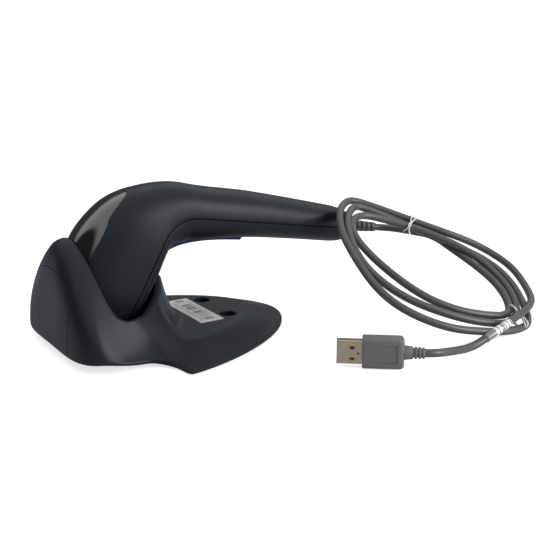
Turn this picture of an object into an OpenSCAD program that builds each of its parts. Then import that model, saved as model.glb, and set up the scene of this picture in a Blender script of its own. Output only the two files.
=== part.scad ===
// Handheld barcode scanner resting nose-down in its desk holder, with a tied USB cable.
// Millimetres, +Z up, +X from the holder's front towards the butt of the handle.
// The origin is on the table, midway between the holder's two screw holes.

/* [Scanner body] */
// Angle of the head's axis above the table
head_angle = 60; // [56:1:64]
// Downward slope of the handle towards its butt
handle_drop = 10.2; // [7:0.1:12]
// Corner of the two axes, along X
bend_x = -32; // [-33:0.5:-31.5]
// Corner of the two axes, above the table
bend_z = 66.8; // [66.6:0.1:69]
// Radius of the axis round the bend
bend_r = 21; // [20:0.5:24]
// Head length from the corner to the nose
head_l = 62; // [59:0.5:62]
// Handle length from the corner to the butt
handle_l = 122.5; // [120:0.5:136]
// Width of the head
head_w = 41; // [38:0.5:43]
// Width of the nose
nose_w = 37; // [34:0.5:39]
// Width of the grip
grip_w = 32.5; // [31:0.5:36]
// Width of the handle near the butt
butt_w = 27; // [26:0.5:30]
// Depth of the head on the panel side of the parting line
head_up = 36.8; // [35:0.1:37.2]
// Depth of the nose on the panel side of the parting line
nose_up = 25; // [24:0.5:26]
// Depth of the head on the chin side of the parting line
head_down = 10.2; // [9.8:0.1:10.6]
// Height of the grip above the parting line
grip_up = 14.5; // [12.5:0.25:15]
// Height of the grip below the parting line
grip_down = 10.5; // [10.5:0.25:12]
// Height of the butt above and below the parting line
butt_half = 10; // [8.8:0.1:10.5]
// Wall of the housings
wall = 2.2; // [1.8:0.1:2.4]

/* [Head panel and nose] */
// Thickness of the gloss panel
panel_t = 1.1; // [0.8:0.1:1.2]
// Nose end of the panel, along the axis from the nose
panel_from = 6; // [4:0.5:10]
// Top end of the panel, along the axis from the nose
panel_to = 54.5; // [50:0.5:56]
// Thickness of the nose bezel
bezel_t = 3; // [2.5:0.25:4]
// Width of the scan window
window_w = 24; // [20:0.5:25]
// Height of the scan window
window_h = 18; // [14:0.5:18]
// Thickness of the scan window
window_t = 1.5; // [1:0.1:2]

/* [Imaging engine] */
// Width of the engine chassis
engine_w = 27; // [25:0.5:29]
// Depth of the engine chassis
engine_l = 13; // [11:0.5:15]
// Distance from the bezel to the chassis
engine_gap = 10; // [8:0.5:12]
// Diameter of the lens barrel
barrel_d = 11; // [9:0.25:12]
// Diameter of each light lens
lamp_d = 5; // [4:0.25:5.5]

/* [Trigger] */
// Width of the trigger
trigger_w = 12; // [10:0.25:12.5]
// Angle that the trigger swings through
trigger_swing = 4.5; // [3:0.5:5]
// Diameter of the trigger pin
pin_d = 2.5; // [2:0.1:3]
// Outer diameter of the trigger spring
spring_d = 4.6; // [4:0.1:5]
// Wire of the trigger spring
spring_wire = 0.6; // [0.4:0.05:0.7]

/* [Electronics] */
// Width of the main board
board_w = 21; // [19:0.5:22]
// Thickness of the main board
board_t = 1.6; // [1.2:0.1:2]
// Diameter of the beeper
beeper_d = 11; // [9:0.25:12]
// Height of the beeper
beeper_h = 4.5; // [3.5:0.25:5]
// Diameter of the housing screws
screw_d = 2.5; // [2:0.1:3]

/* [Cable] */
// Diameter of the cable
cord_d = 4.2; // [3.8:0.1:4.6]
// Length of the ribbed boot outside the butt
boot_l = 24; // [22:1:26]
// Diameter of the boot at the butt
boot_d = 7.6; // [7:0.1:8.2]
// Half the length of the tied loop
loop_a = 60; // [57:0.5:61]
// Half the width of the tied loop
loop_b = 50; // [48:0.5:51]
// Thickness of the bundle of turns
bundle_t = 5.5; // [5:0.25:5.5]
// Width of the USB plug's metal shell
usb_w = 12; // [11.9:0.05:12.1]
// Thickness of the USB plug's metal shell
usb_t = 4.5; // [4.4:0.05:4.6]
// Length of the USB plug's metal shell outside the grip
usb_l = 12.5; // [11.8:0.1:14]
// Length of the USB plug's grip
grip_l = 20.5; // [18:0.5:24]
// Width of the USB plug's grip
plug_w = 16; // [15.5:0.25:17]
// Thickness of the USB plug's grip
plug_t = 8.4; // [7.5:0.1:10]

/* [Holder] */
// Height of the front arch
arch_h = 59.5; // [56:0.5:60]
// Height of the rims beside the head
side_h = 22; // [20:0.5:23]
// Height of the column behind the head
column_h = 33; // [30:0.5:33.5]
// Wall of the cup
cup_wall = 3; // [2.5:0.1:3.2]
// Half-width of the cup at its rim
cup_half_w = 35.5; // [34:0.5:36.5]
// Half-width of the cup at its foot
foot_half_w = 46; // [44:0.5:48]
// Half-width of the base plate
plate_half_w = 68; // [64:0.5:70]
// Distance from the screws to the tip of the plate
plate_tip = 39; // [36:0.5:44]
// Height of the plate's flat top
plateau_h = 9; // [8.5:0.25:9.5]
// Thickness of the plate's skin
skin_t = 2.5; // [2:0.1:2.6]
// Distance between the two screw holes
screw_pitch = 30; // [26:0.5:34]
// Diameter of the screw holes
hole_d = 4.5; // [4:0.1:5]
// Diameter of the screw head recesses
recess_d = 9; // [8:0.1:9.5]
// Height of the rubber feet below the plate
foot_h = 0.8; // [0.5:0.1:1.2]

/* [Hidden] */

// Clearances
fit = 0.15;
slide_gap = 0.5;

// Colours
charcoal = "#30363b";
gloss_black = "#0c0e10";
cable_grey = "#6a6c6c";
trigger_blue = "#1c3f8f";
board_green = "#1f5a3a";
metal = "#b9bcc0";

// Curve helpers
function mix(a, b, t) = a + (b - a) * t;
function ease(x) = let (t = min(1, max(0, x))) t * t * (3 - 2 * t);
function power(x, e) = sign(x) * pow(abs(x), e);
function span(a, b, n) = [for (i = [0:n]) a + (b - a) * i / n];

// Smooth curve through rows [position, value, value, ...]
function row_at(rows, x, i = 0) =
    (i >= len(rows) - 2 || x < rows[i + 1][0]) ? i : row_at(rows, x, i + 1);
function row_slope(rows, c, i) =
    let (a = max(0, i - 1), b = min(len(rows) - 1, i + 1))
    (rows[b][c] - rows[a][c]) / (rows[b][0] - rows[a][0]);
function curve(rows, c, x) =
    let (i = row_at(rows, x), p = rows[i], q = rows[i + 1], h = q[0] - p[0], t = (x - p[0]) / h)
    let (m = row_slope(rows, c, i) * h, n = row_slope(rows, c, i + 1) * h)
    p[c] * (2 * t^3 - 3 * t^2 + 1) + m * (t^3 - 2 * t^2 + t)
        + q[c] * (3 * t^2 - 2 * t^3) + n * (t^3 - t^2);

// Closed solid through rings of equal size, each ring a loop of points; a banded ring runs out along
// one edge of a strip and back along the other, and its ends are closed across the strip
module loft(rings, banded = false) {
    n = len(rings[0]);
    last = len(rings) - 1;
    points = [for (ring = rings) each ring];
    sides = [for (i = [0:last - 1], j = [0:n - 1])
        let (k = (j + 1) % n, a = i * n, b = a + n)
        each [[a + j, b + j, a + k], [a + k, b + j, b + k]]];
    first_cap = banded
        ? [for (j = [0:n / 2 - 2]) each [[j, j + 1, n - 1 - j], [j + 1, n - 2 - j, n - 1 - j]]]
        : [[for (j = [0:n - 1]) j]];
    last_cap = [for (face = first_cap) [for (j = [len(face) - 1:-1:0]) last * n + face[j]]];
    polyhedron(points, concat(sides, first_cap, last_cap), convexity = 10);
}

// The scanner's axis: a straight head, a round bend and a straight handle
turn = head_angle + handle_drop;
tangent_l = bend_r * tan(turn / 2);
head_run = head_l - tangent_l;
bend_run = bend_r * turn * PI / 180;
axis_l = head_run + bend_run + handle_l - tangent_l;
bend_end = head_run + bend_run;
head_dir = [cos(head_angle), sin(head_angle)];
handle_dir = [cos(handle_drop), -sin(handle_drop)];
corner = [bend_x, bend_z];
bend_centre = corner - tangent_l * head_dir + bend_r * [sin(head_angle), -cos(head_angle)];
function axis_angle(s) = head_angle - turn * min(1, max(0, (s - head_run) / bend_run));
function axis_point(s) =
    s < head_run ? corner - (head_l - s) * head_dir
    : s < bend_end ? bend_centre + bend_r * [-sin(axis_angle(s)), cos(axis_angle(s))]
    : corner + (tangent_l + s - bend_end) * handle_dir;
function on_axis(s, side, out) =
    let (p = axis_point(s), a = axis_angle(s)) [p[0] - out * sin(a), side, p[1] + out * cos(a)];

// Body sections along the axis: position, depth above, depth below, half-width
mouth_up = head_up - 2.5;
neck_up = head_up - 2;
bend_up = 20.7;
collar_up = 15.8;
nose_down = 9;
mouth_down = 10;
neck_down = 9.6;
bend_down = 14.6;
collar_down = 14.4;
brow_w = head_w - 0.6;
bend_w = (head_w + grip_w) / 2;
collar_w = grip_w + 2.4;
grip_run = 40;
stations = [
    [0, nose_up, nose_down, nose_w / 2],
    [head_run / 3, mouth_up, mouth_down, brow_w / 2],
    [head_run * 2 / 3, head_up, head_down, head_w / 2],
    [head_run, neck_up, neck_down, brow_w / 2],
    [head_run + bend_run / 2, bend_up, bend_down, bend_w / 2],
    [bend_end, collar_up, collar_down, collar_w / 2],
    [bend_end + grip_run, grip_up, grip_down, grip_w / 2],
    [axis_l, butt_half, butt_half, butt_w / 2]];
butt_round = 13;
butt_flat = 0.6;
butt_end_wall = 2.5;
butt_hole_d = boot_d + 2 * fit;
crown_power = 2 / 2.6;
chin_power = 2 / 2.1;
function section_power(dir) = dir > 0 ? crown_power : chin_power;
function butt_shrink(s) =
    let (q = max(0, (s - axis_l + butt_round) / butt_round))
    butt_flat + (1 - butt_flat) * sqrt(max(0, 1 - q * q));
function depth_up(s) = curve(stations, 1, s) * butt_shrink(s);
function depth_down(s) = curve(stations, 2, s) * butt_shrink(s);
function half_width(s) = curve(stations, 3, s) * butt_shrink(s);
// Point on the body at angle th round the section, moved in by inset; dir is 1 above and -1 below
function skin(s, th, dir, inset) =
    let (w = half_width(s) - inset, d = (dir > 0 ? depth_up(s) : depth_down(s)) - inset)
    on_axis(s, w * power(cos(th), section_power(dir)), dir * d * power(sin(th), section_power(dir)));
// Inside of the wall: the cavity, narrowed to a round cable hole through the end wall
function lining(s, th, dir) =
    s < axis_l - butt_end_wall ? skin(s, th, dir, wall)
    : on_axis(s, butt_hole_d / 2 * cos(th), dir * butt_hole_d / 2 * sin(th));

// Panel bed: a shallow step in the crown of the upper housing, narrowing to a leaf's tip at the bend
half_steps = 20;
crown_step = half_steps / 2;
panel_first = 5;
panel_last = half_steps - panel_first;
panel_bed = panel_t + fit;
bed_step = 0.8;
panel_straight = 30;
panel_power = 2.4;
panel_angle = 41;
panel_tip_angle = 3;
function panel_half(s) =
    let (q = min(1, max(0, (s - panel_straight) / (panel_to - panel_straight))))
    max(panel_tip_angle, panel_angle * pow(1 - pow(q, panel_power), 1 / panel_power));
panel_stops = concat(span(panel_from, panel_straight, 6),
    [for (a = [15:15:90]) mix(panel_straight, panel_to, sin(a))]);
function in_bed(s, k) =
    s > panel_from - bed_step / 2 && s < panel_to + bed_step / 2 && k >= panel_first && k <= panel_last;
// Angle of step k round the upper half section: the panel's steps crowd in with its width
function step_angle(k) = 180 * k / half_steps;
function crown_angle(s, k) =
    let (w = panel_half(s), side = crown_step - panel_first)
    k < panel_first ? (90 - w) * k / panel_first
    : k > panel_last ? 180 - (90 - w) * (half_steps - k) / panel_first
    : 90 + w * (k - crown_step) / side;
function ring_angle(s, k, dir) = dir > 0 ? crown_angle(s, k) : step_angle(k);
housing_stops = concat(
    span(0, panel_from - bed_step, 1), panel_stops,
    span(panel_to + bed_step, bend_end, 4), span(bend_end + 8, axis_l - butt_round, 9),
    span(axis_l - butt_round * 0.85, axis_l - butt_end_wall - bed_step, 4),
    span(axis_l - butt_end_wall, axis_l, 3));
function housing_ring(s, dir) = concat(
    [for (k = [0:half_steps])
        skin(s, ring_angle(s, k, dir), dir, dir > 0 && in_bed(s, k) ? panel_bed : 0)],
    [for (k = [half_steps:-1:0]) lining(s, ring_angle(s, k, dir), dir)]);
module housing_half(dir) {
    rings = [for (s = housing_stops) housing_ring(s, dir)];
    loft(dir > 0 ? rings : [for (i = [len(rings) - 1:-1:0]) rings[i]], banded = true);
}

// Local frames: x along the axis towards the butt, y across, z out of the crown
module on_head(s) {
    p = axis_point(s);
    translate([p[0], 0, p[1]]) rotate([0, -head_angle, 0]) children();
}
module on_handle(t) {
    p = corner + t * handle_dir;
    translate([p[0], 0, p[1]]) rotate([0, handle_drop, 0]) children();
}
function handle_s(t) = bend_end + t - tangent_l;
// Outline drawn across a local frame and run along its x
module across(l) { rotate([90, 0, 90]) linear_extrude(l) children(); }
// Outline drawn in a local frame's x and z and run across its y
module upright(w) { rotate([90, 0, 0]) linear_extrude(w, center = true) children(); }

// Places along the handle, from the corner
board_from = 22;
jack_back = 29.5;
jack_from = handle_l - jack_back;
board_l = jack_from - board_from;
board_z = 0.6;
board_top = board_z + board_t;
front_screw = 61.5;
screw_inset = 9;
screw_at = [front_screw, jack_from - screw_inset];
boss_d = 6;
screw_head_d = 4.6;
screw_head_h = 2;
screw_seat = -5;
pilot_depth = 4;
pilot_room = 0.5;
drive_l = 2.8;
drive_w = 0.8;

module upper_housing() {
    color(charcoal) difference() {
        union() {
            housing_half(1);
            for (t = screw_at) on_handle(t) translate([0, 0, board_top + fit])
                cylinder(d = boss_d, h = depth_up(handle_s(t)) - wall / 2 - board_top - fit, $fn = 32);
        }
        for (t = screw_at) on_handle(t)
            cylinder(d = screw_d + fit, h = board_top + pilot_depth, $fn = 32);
    }
}

module lower_housing() {
    color(charcoal) difference() {
        union() {
            housing_half(-1);
            for (t = screw_at) on_handle(t) {
                low = depth_down(handle_s(t)) - wall / 2;
                translate([0, 0, -low]) cylinder(d = boss_d + 1, h = low + board_z - fit, $fn = 32);
            }
        }
        for (t = screw_at) on_handle(t) {
            translate([0, 0, -grip_down]) cylinder(d = screw_d + 2 * fit, h = 2 * grip_down, $fn = 32);
            translate([0, 0, screw_seat - 2 * grip_down])
                cylinder(d = screw_head_d + 4 * fit, h = 2 * grip_down, $fn = 32);
        }
        on_handle(0) upright(trigger_w + 2 * slide_gap) polygon(slot_outline);
        on_handle(pivot_t) translate([0, 0, pivot_n]) rotate([90, 0, 0])
            cylinder(r = pivot_r + fit, h = 2 * (ear_out + fit), center = true, $fn = 48);
    }
}

module head_panel() {
    color(gloss_black) loft([for (s = panel_stops) concat(
        [for (k = [panel_first:panel_last]) skin(s, crown_angle(s, k), 1, 0)],
        [for (k = [panel_last:-1:panel_first]) skin(s, crown_angle(s, k), 1, panel_t)])], banded = true);
}

// Nose opening, seen along the axis
function nose_point(th, dir, inset) = [
    (nose_w / 2 - inset) * power(cos(th), section_power(dir)),
    dir * ((dir > 0 ? nose_up : nose_down) - inset) * power(sin(th), section_power(dir))];
nose_outline = concat(
    [for (k = [0:half_steps]) nose_point(step_angle(k), 1, wall + fit)],
    [for (k = [half_steps - 1:-1:1]) nose_point(step_angle(k), -1, wall + fit)]);
sight_z = (nose_up - nose_down) / 2;
window_lip = 1.5;
post_d = 3;
post_y = 8;
post_z = window_h / 2 + fit + post_d / 2;
module nose_bezel() {
    color(charcoal) on_head(0) {
        difference() {
            across(bezel_t) polygon(nose_outline);
            translate([-1, -window_w / 2 + window_lip, sight_z - window_h / 2 + window_lip])
                cube([bezel_t + 2, window_w - 2 * window_lip, window_h - 2 * window_lip]);
            translate([bezel_t - window_t - fit, -window_w / 2 - fit, sight_z - window_h / 2 - fit])
                cube([bezel_t, window_w + 2 * fit, window_h + 2 * fit]);
        }
        for (y = [-post_y, post_y], z = [-post_z, post_z]) translate([bezel_t, y, sight_z + z])
            rotate([0, 90, 0]) cylinder(d = post_d, h = engine_gap, $fn = 24);
    }
}

module scan_window() {
    color("#3a1f24") on_head(0) translate([bezel_t - window_t, -window_w / 2, sight_z - window_h / 2])
        cube([window_t, window_w, window_h]);
}

// Imaging engine behind the window, on the bezel's posts
engine_at = bezel_t + engine_gap;
engine_h = 2 * post_z + post_d;
lamp_edge = 1.5;
lamp_out = 1;
lamp_y = engine_w / 2 - lamp_d / 2 - lamp_edge;
barrel_wall = 1.2;
barrel_out = 4;
lens_t = 2;
lens_in = 1;
module engine_chassis() {
    color("#22262a") on_head(engine_at) difference() {
        translate([0, -engine_w / 2, sight_z - engine_h / 2]) cube([engine_l, engine_w, engine_h]);
        translate([-1, 0, sight_z]) rotate([0, 90, 0])
            cylinder(d = barrel_d + 2 * fit, h = engine_l + 2, $fn = 48);
        for (y = [-lamp_y, lamp_y]) translate([-1, y, sight_z]) rotate([0, 90, 0])
            cylinder(d = lamp_d + 2 * fit, h = engine_l / 2 + 1, $fn = 32);
    }
}
module lens_barrel() {
    color("#15181a") on_head(engine_at) translate([-barrel_out, 0, sight_z]) rotate([0, 90, 0])
        difference() {
            cylinder(d = barrel_d, h = engine_l + barrel_out, $fn = 48);
            translate([0, 0, -1])
                cylinder(d = barrel_d - 2 * barrel_wall, h = engine_l + barrel_out + 2, $fn = 48);
        }
}
module front_lens() {
    color("#7fa2b8") on_head(engine_at) translate([lens_in - barrel_out, 0, sight_z]) rotate([0, 90, 0])
        cylinder(d = barrel_d - 2 * barrel_wall, h = lens_t, $fn = 48);
}
module lamp_lenses() {
    color("#d8e4ea") on_head(engine_at) for (y = [-lamp_y, lamp_y]) translate([-lamp_out, y, sight_z])
        rotate([0, 90, 0]) cylinder(d = lamp_d, h = engine_l / 2 + lamp_out, $fn = 32);
}
sensor_t = 1.6;
module sensor_board() {
    color(board_green) on_head(engine_at + engine_l)
        translate([0, -engine_w / 2, sight_z - engine_h / 2]) cube([sensor_t, engine_w, engine_h]);
}

// Flat cable from the sensor board round the bend to the main board
ribbon_w = 10;
ribbon_t = 0.4;
ribbon_up = 4;
function ribbon_point(s, out) = let (p = on_axis(s, 0, out)) [p[0], p[2]];
ribbon_start = engine_at + engine_l + sensor_t;
ribbon_stops = span(0, 1, 10);
ribbon_lap = 3;
ribbon_end = handle_s(board_from) + ribbon_lap;
function ribbon_line(off) = [for (t = ribbon_stops) ribbon_point(mix(ribbon_start, ribbon_end, t),
    mix(sight_z, board_top, ease(t)) + ribbon_up * sin(180 * t) + off)];
module ribbon_cable() {
    low = ribbon_line(0);
    high = ribbon_line(ribbon_t);
    color("#c9a25a") upright(ribbon_w)
        polygon(concat(low, [for (i = [len(high) - 1:-1:0]) high[i]]));
}

// Main board along the handle
chip_at = [31.7, 42.2];
chip_size = [12, 8];
chip_t = 1.2;
beeper_at = 52.2;
beeper_hole = 2.2;
module main_board() {
    color(board_green) difference() {
        on_handle(board_from) translate([0, -board_w / 2, board_z]) cube([board_l, board_w, board_t]);
        for (t = screw_at) on_handle(t) cylinder(d = screw_d + 4 * fit, h = 2 * board_top, $fn = 32);
    }
}
module decoder_chips() {
    color("#191b1d") for (i = [0, 1]) on_handle(chip_at[i]) translate([0, 0, board_top + chip_t / 2])
        cube([chip_size[i], chip_size[i], chip_t], center = true);
}
module beeper() {
    color("#1d1f21") on_handle(beeper_at) translate([0, 0, board_top]) difference() {
        cylinder(d = beeper_d, h = beeper_h, $fn = 48);
        translate([0, 0, beeper_h / 2]) cylinder(d = beeper_hole, h = beeper_h, $fn = 24);
    }
}

// Trigger: a lever on a pin under the grip, with its finger pad in the inside of the bend
tip_proud = 1.6;
back_proud = 1;
pad_heel = 1;
pad_turn = [13, -grip_down - 2];
pivot_t = 45.5;
pivot_n = -6.2;
pivot_r = 2.2;
trigger_end = 49.5;
trigger_from = head_run - 3.5;
trigger_floor = -8;
trigger_deep = 5.5;
slot_top = -7;
switch_t = 36;
spring_t = 24;
spring_pocket = 1.5;
switch_size = 6;
switch_h = 3.2;
plunger_d = 3;
plunger_out = 1.4;
plunger_in = 0.4;
plunger_travel = (pivot_t - switch_t) * sin(trigger_swing);
touch_gap = 0.1;
nub_root = 1;
switch_face = board_z - switch_h;
nub_l = switch_face - plunger_out - touch_gap - trigger_floor + nub_root;
// Point below the body at position s, seen from the corner along and across the handle
function under_body(s, out) =
    let (p = on_axis(s, 0, -depth_down(s) - out), d = [p[0], p[2]] - corner)
    [d * handle_dir, d * [-handle_dir[1], handle_dir[0]]];
trigger_tip = under_body(trigger_from, tip_proud);
trigger_back = under_body(handle_s(trigger_end), 0);
pad_back = under_body(handle_s(trigger_end - pad_heel), back_proud);
function pad_point(u) = (1 - u)^2 * trigger_tip + 2 * u * (1 - u) * pad_turn + u^2 * pad_back;
trigger_outline = concat(
    [under_body(trigger_from, -trigger_deep), under_body(trigger_from, 0)],
    [for (u = span(0, 1, 12)) pad_point(u)],
    [trigger_back, [trigger_end, pivot_n],
        [pivot_t + pivot_r, pivot_n + pivot_r], [pivot_t - pivot_r, pivot_n + pivot_r],
        [pivot_t - 3 * pivot_r, trigger_floor], [tangent_l, trigger_floor]]);
slot_lip = under_body(trigger_from - slide_gap, trigger_deep);
slot_heel = under_body(trigger_from - slide_gap, -trigger_deep - slide_gap);
slot_outline = [slot_heel, slot_lip, [trigger_end + slide_gap, slot_lip[1]],
    [trigger_end + slide_gap, slot_top], [slot_heel[0], slot_top]];
module trigger() {
    color(trigger_blue) difference() {
        union() {
            on_handle(0) upright(trigger_w) polygon(trigger_outline);
            on_handle(switch_t) translate([0, 0, trigger_floor - nub_root])
                cylinder(d = plunger_d, h = nub_l, $fn = 32);
        }
        on_handle(pivot_t) translate([0, 0, pivot_n]) rotate([90, 0, 0])
            cylinder(d = pin_d + 2 * touch_gap, h = 2 * trigger_w, center = true, $fn = 48);
        on_handle(spring_t) translate([0, 0, trigger_floor - spring_pocket])
            cylinder(d = spring_d + 2 * slide_gap, h = 2 * spring_pocket, $fn = 32);
    }
}

// Bracket under the main board that carries the pin, the spring and the switch
bracket_t = 1.4;
bracket_from = 18.5;
bracket_to = 51;
ear_t = 1.8;
ear_in = trigger_w / 2 + slide_gap;
ear_out = ear_in + ear_t;
module trigger_bracket() {
    color("#3c4146") difference() {
        union() {
            on_handle(bracket_from) translate([0, -ear_out, board_z - bracket_t])
                cube([bracket_to - bracket_from, 2 * ear_out, bracket_t]);
            for (y = [-ear_out, ear_in]) on_handle(pivot_t) {
                translate([-pivot_r, y, pivot_n])
                    cube([2 * pivot_r, ear_t, board_z - bracket_t / 2 - pivot_n]);
                translate([0, y + ear_t, pivot_n]) rotate([90, 0, 0])
                    cylinder(r = pivot_r, h = ear_t, $fn = 48);
            }
        }
        on_handle(pivot_t) translate([0, 0, pivot_n]) rotate([90, 0, 0])
            cylinder(d = pin_d, h = 4 * ear_out, center = true, $fn = 48);
        on_handle(switch_t)
            cube([switch_size + 2 * fit, switch_size + 2 * fit, 4 * bracket_t], center = true);
    }
}
module trigger_pin() {
    color(metal) on_handle(pivot_t) translate([0, 0, pivot_n]) rotate([90, 0, 0])
        cylinder(d = pin_d, h = 2 * ear_out, center = true, $fn = 48);
}
spring_turns = 5;
spring_steps = 12;
spring_low = trigger_floor - spring_pocket + spring_wire / 2;
spring_high = board_z - bracket_t - spring_wire / 2;
spring_r = (spring_d - spring_wire) / 2;
module trigger_spring() {
    count = spring_turns * spring_steps;
    color(metal) on_handle(spring_t) loft([for (i = [0:count])
        let (a = 360 * i / spring_steps, z = mix(spring_low, spring_high, i / count))
        [for (b = [0:60:300]) let (r = spring_r - spring_wire / 2 * cos(b))
            [r * cos(a), r * sin(a), z + spring_wire / 2 * sin(b)]]]);
}
module switch_body() {
    color("#17191b") on_handle(switch_t) difference() {
        translate([0, 0, switch_face + switch_h / 2])
            cube([switch_size, switch_size, switch_h], center = true);
        translate([0, 0, switch_face - plunger_out]) cylinder(
            d = plunger_d + 2 * fit, h = plunger_out + plunger_in + plunger_travel + fit, $fn = 32);
    }
}
module switch_plunger() {
    color("#d7d2c4") on_handle(switch_t) translate([0, 0, switch_face - plunger_out])
        cylinder(d = plunger_d, h = plunger_out + plunger_in, $fn = 32);
}

// Screws through the lower housing and the board into the upper housing
module housing_screws() {
    color(metal) for (t = screw_at) on_handle(t) difference() {
        union() {
            translate([0, 0, screw_seat - screw_head_h])
                cylinder(d = screw_head_d, h = screw_head_h, $fn = 32);
            translate([0, 0, screw_seat])
                cylinder(d = screw_d, h = board_top + pilot_depth - pilot_room - screw_seat, $fn = 32);
        }
        for (a = [0, 90]) translate([0, 0, screw_seat - screw_head_h]) rotate([0, 0, a])
            cube([drive_l, drive_w, screw_head_h], center = true);
    }
}

// Cable entry at the butt
jack_size = [13, 15, 11.5];
plug_body = [14.5, 11.7, 8];
plug_deep = 9;
plug_from = jack_from + jack_size[0] - plug_deep;
module cable_jack() {
    color("#202326") on_handle(jack_from) difference() {
        translate([0, -jack_size[1] / 2, -jack_size[2] / 2]) cube(jack_size);
        translate([jack_size[0] - plug_deep - fit, -plug_body[1] / 2 - fit, -plug_body[2] / 2 - fit])
            cube([plug_deep + 1, plug_body[1] + 2 * fit, plug_body[2] + 2 * fit]);
    }
}
module modular_plug() {
    color("#c8d0d4") on_handle(plug_from)
        translate([0, -plug_body[1] / 2, -plug_body[2] / 2]) cube(plug_body);
}
boot_from = plug_from + plug_body[0];
flange_d = butt_hole_d + 1.6;
flange_t = 1.8;
flange_at = handle_l - butt_end_wall - bed_step - fit - flange_t;
boot_tip_d = cord_d + 1.4;
rib_count = 6;
rib_pitch = (boot_l - 1) / rib_count;
rib_gap = 1.3;
rib_deep = 0.9;
function boot_r(x) = mix(boot_d, boot_tip_d, max(0, x / boot_l)) / 2;
module cable_boot() {
    ribs = [for (i = [1:rib_count - 1]) let (x = i * rib_pitch) each [
        [boot_r(x), handle_l + x], [boot_r(x) - rib_deep, handle_l + x],
        [boot_r(x + rib_gap) - rib_deep, handle_l + x + rib_gap],
        [boot_r(x + rib_gap), handle_l + x + rib_gap]]];
    profile = concat([[0, boot_from], [boot_d / 2, boot_from], [boot_d / 2, flange_at],
        [flange_d / 2, flange_at], [flange_d / 2, flange_at + flange_t],
        [boot_d / 2, flange_at + flange_t]], ribs,
        [[boot_tip_d / 2, handle_l + boot_l], [0, handle_l + boot_l]]);
    color(cable_grey) on_handle(0) rotate([0, 90, 0]) rotate_extrude($fn = 48) polygon(profile);
}

// Cable: a short lead, a tied loop of turns and a tail to the plug
boot_end = corner + (handle_l + boot_l) * handle_dir;
boot_exit = [boot_end[0], 0, boot_end[1]];
loop_at = [101.5, -66.5, 30.6];
loop_yaw = -38;
loop_pitch = 23;
loop_roll = 17;
plug_at = [26.5, -100.5, plug_w / 2];
plug_yaw = -38;
plug_dir = [cos(plug_yaw), sin(plug_yaw), 0];
relief_l = 10;
relief_d = 6.6;
plug_exit = plug_at + (grip_l + relief_l) * plug_dir;
cord_side = 8;
lead_route = concat([boot_exit, boot_exit + 4 * [handle_dir[0], 0, handle_dir[1]]],
    [[121, -6, 40.2], [124, -15, 40.3], [126, -25, 40.4], [128, -36, 40.8]]);
tail_route = concat([plug_exit, plug_exit + 4 * plug_dir],
    [[61, -121.5, 7], [69, -119.5, 5.5], [78, -116.5, 3.5], [88, -114, 2.4], [96, -113.8, 4.6],
    [103, -114.5, 8], [113, -113, 9.8], [123, -109.3, 10.8], [136, -104.5, 11.4], [147, -98, 11.6]]);
function unit(v) = v / norm(v);
module cord_tube(route) {
    last = len(route) - 1;
    color(cable_grey) loft([for (i = [0:last])
        let (d = unit(route[min(last, i + 1)] - route[max(0, i - 1)]))
        let (u = unit(cross([0, 0, 1], d)), v = cross(d, u))
        [for (j = [0:cord_side - 1]) let (a = 360 * (j + 0.5) / cord_side)
            route[i] + cord_d / 2 * (cos(a) * u + sin(a) * v)]]);
}
module cord_lead() { cord_tube(lead_route); }
module cord_tail() { cord_tube(tail_route); }
module on_loop() {
    translate(loop_at) rotate([0, 0, loop_yaw]) rotate([0, loop_pitch, 0]) rotate([loop_roll, 0, 0])
        children();
}
// Outlines of the tied turns in the loop's plane, as shares of its half-length and half-width
loop_outer = [[0.02, 0.9], [0.35, 1.05], [0.58, 1.04], [0.81, 0.93], [0.95, 0.69], [1.04, 0.38],
    [1.04, 0.09], [1.02, -0.22], [0.92, -0.36], [0.78, -0.57], [0.56, -0.76], [0.22, -0.99],
    [-0.11, -1.03], [-0.37, -0.96], [-0.59, -0.74], [-0.81, -0.35], [-0.97, -0.02], [-1.04, 0.37],
    [-1.03, 0.63], [-0.96, 0.83], [-0.78, 0.84], [-0.6, 0.87], [-0.28, 0.89]];
loop_inner = [[-0.08, 0.65], [0.13, 0.66], [0.34, 0.6], [0.55, 0.41], [0.7, 0.17], [0.77, -0.11],
    [0.67, -0.26], [0.28, -0.5], [-0.09, -0.51], [-0.49, -0.27], [-0.73, -0.02], [-0.83, 0.31],
    [-0.74, 0.55], [-0.3, 0.64]];
function on_loop_plane(p) = [p[0] * loop_a, p[1] * loop_b];
module cord_loop() {
    color(cable_grey) on_loop() linear_extrude(bundle_t, center = true) difference() {
        polygon([for (p = loop_outer) on_loop_plane(p)]);
        polygon([for (p = loop_inner) on_loop_plane(p)]);
    }
}
// Each tie closes round the turns between one outer and one inner corner of those outlines
tie_at = [[22, 13], [8, 5]];
tie_t = 0.6;
tie_w = 2;
tie_room = 0.4;
module loop_ties() {
    color("white") on_loop() for (pair = tie_at) {
        o = on_loop_plane(loop_outer[pair[0]]);
        i = on_loop_plane(loop_inner[pair[1]]);
        across_turns = o - i;
        w = norm(across_turns) + tie_room;
        translate([(o[0] + i[0]) / 2, (o[1] + i[1]) / 2, 0])
            rotate([90, 0, atan2(across_turns[1], across_turns[0])])
                linear_extrude(tie_w, center = true) difference() {
                    square([w + 2 * tie_t, bundle_t + 2 * tie_t], center = true);
                    square([w, bundle_t], center = true);
                }
    }
}
label_l = 8;
label_share = 0.25;
label_wrap = 0.3;
label_from = tail_route[6];
label_to = tail_route[7];
module cord_label() {
    dir = label_to - label_from;
    mid = label_from + label_share * dir;
    color("white") translate(mid) rotate([0, acos(dir[2] / norm(dir)), atan2(dir[1], dir[0])])
        difference() {
            cylinder(d = cord_d + 2 * label_wrap, h = label_l, center = true, $fn = 32);
            cylinder(d = cord_d, h = 2 * label_l, center = true, $fn = 32);
        }
}

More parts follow.
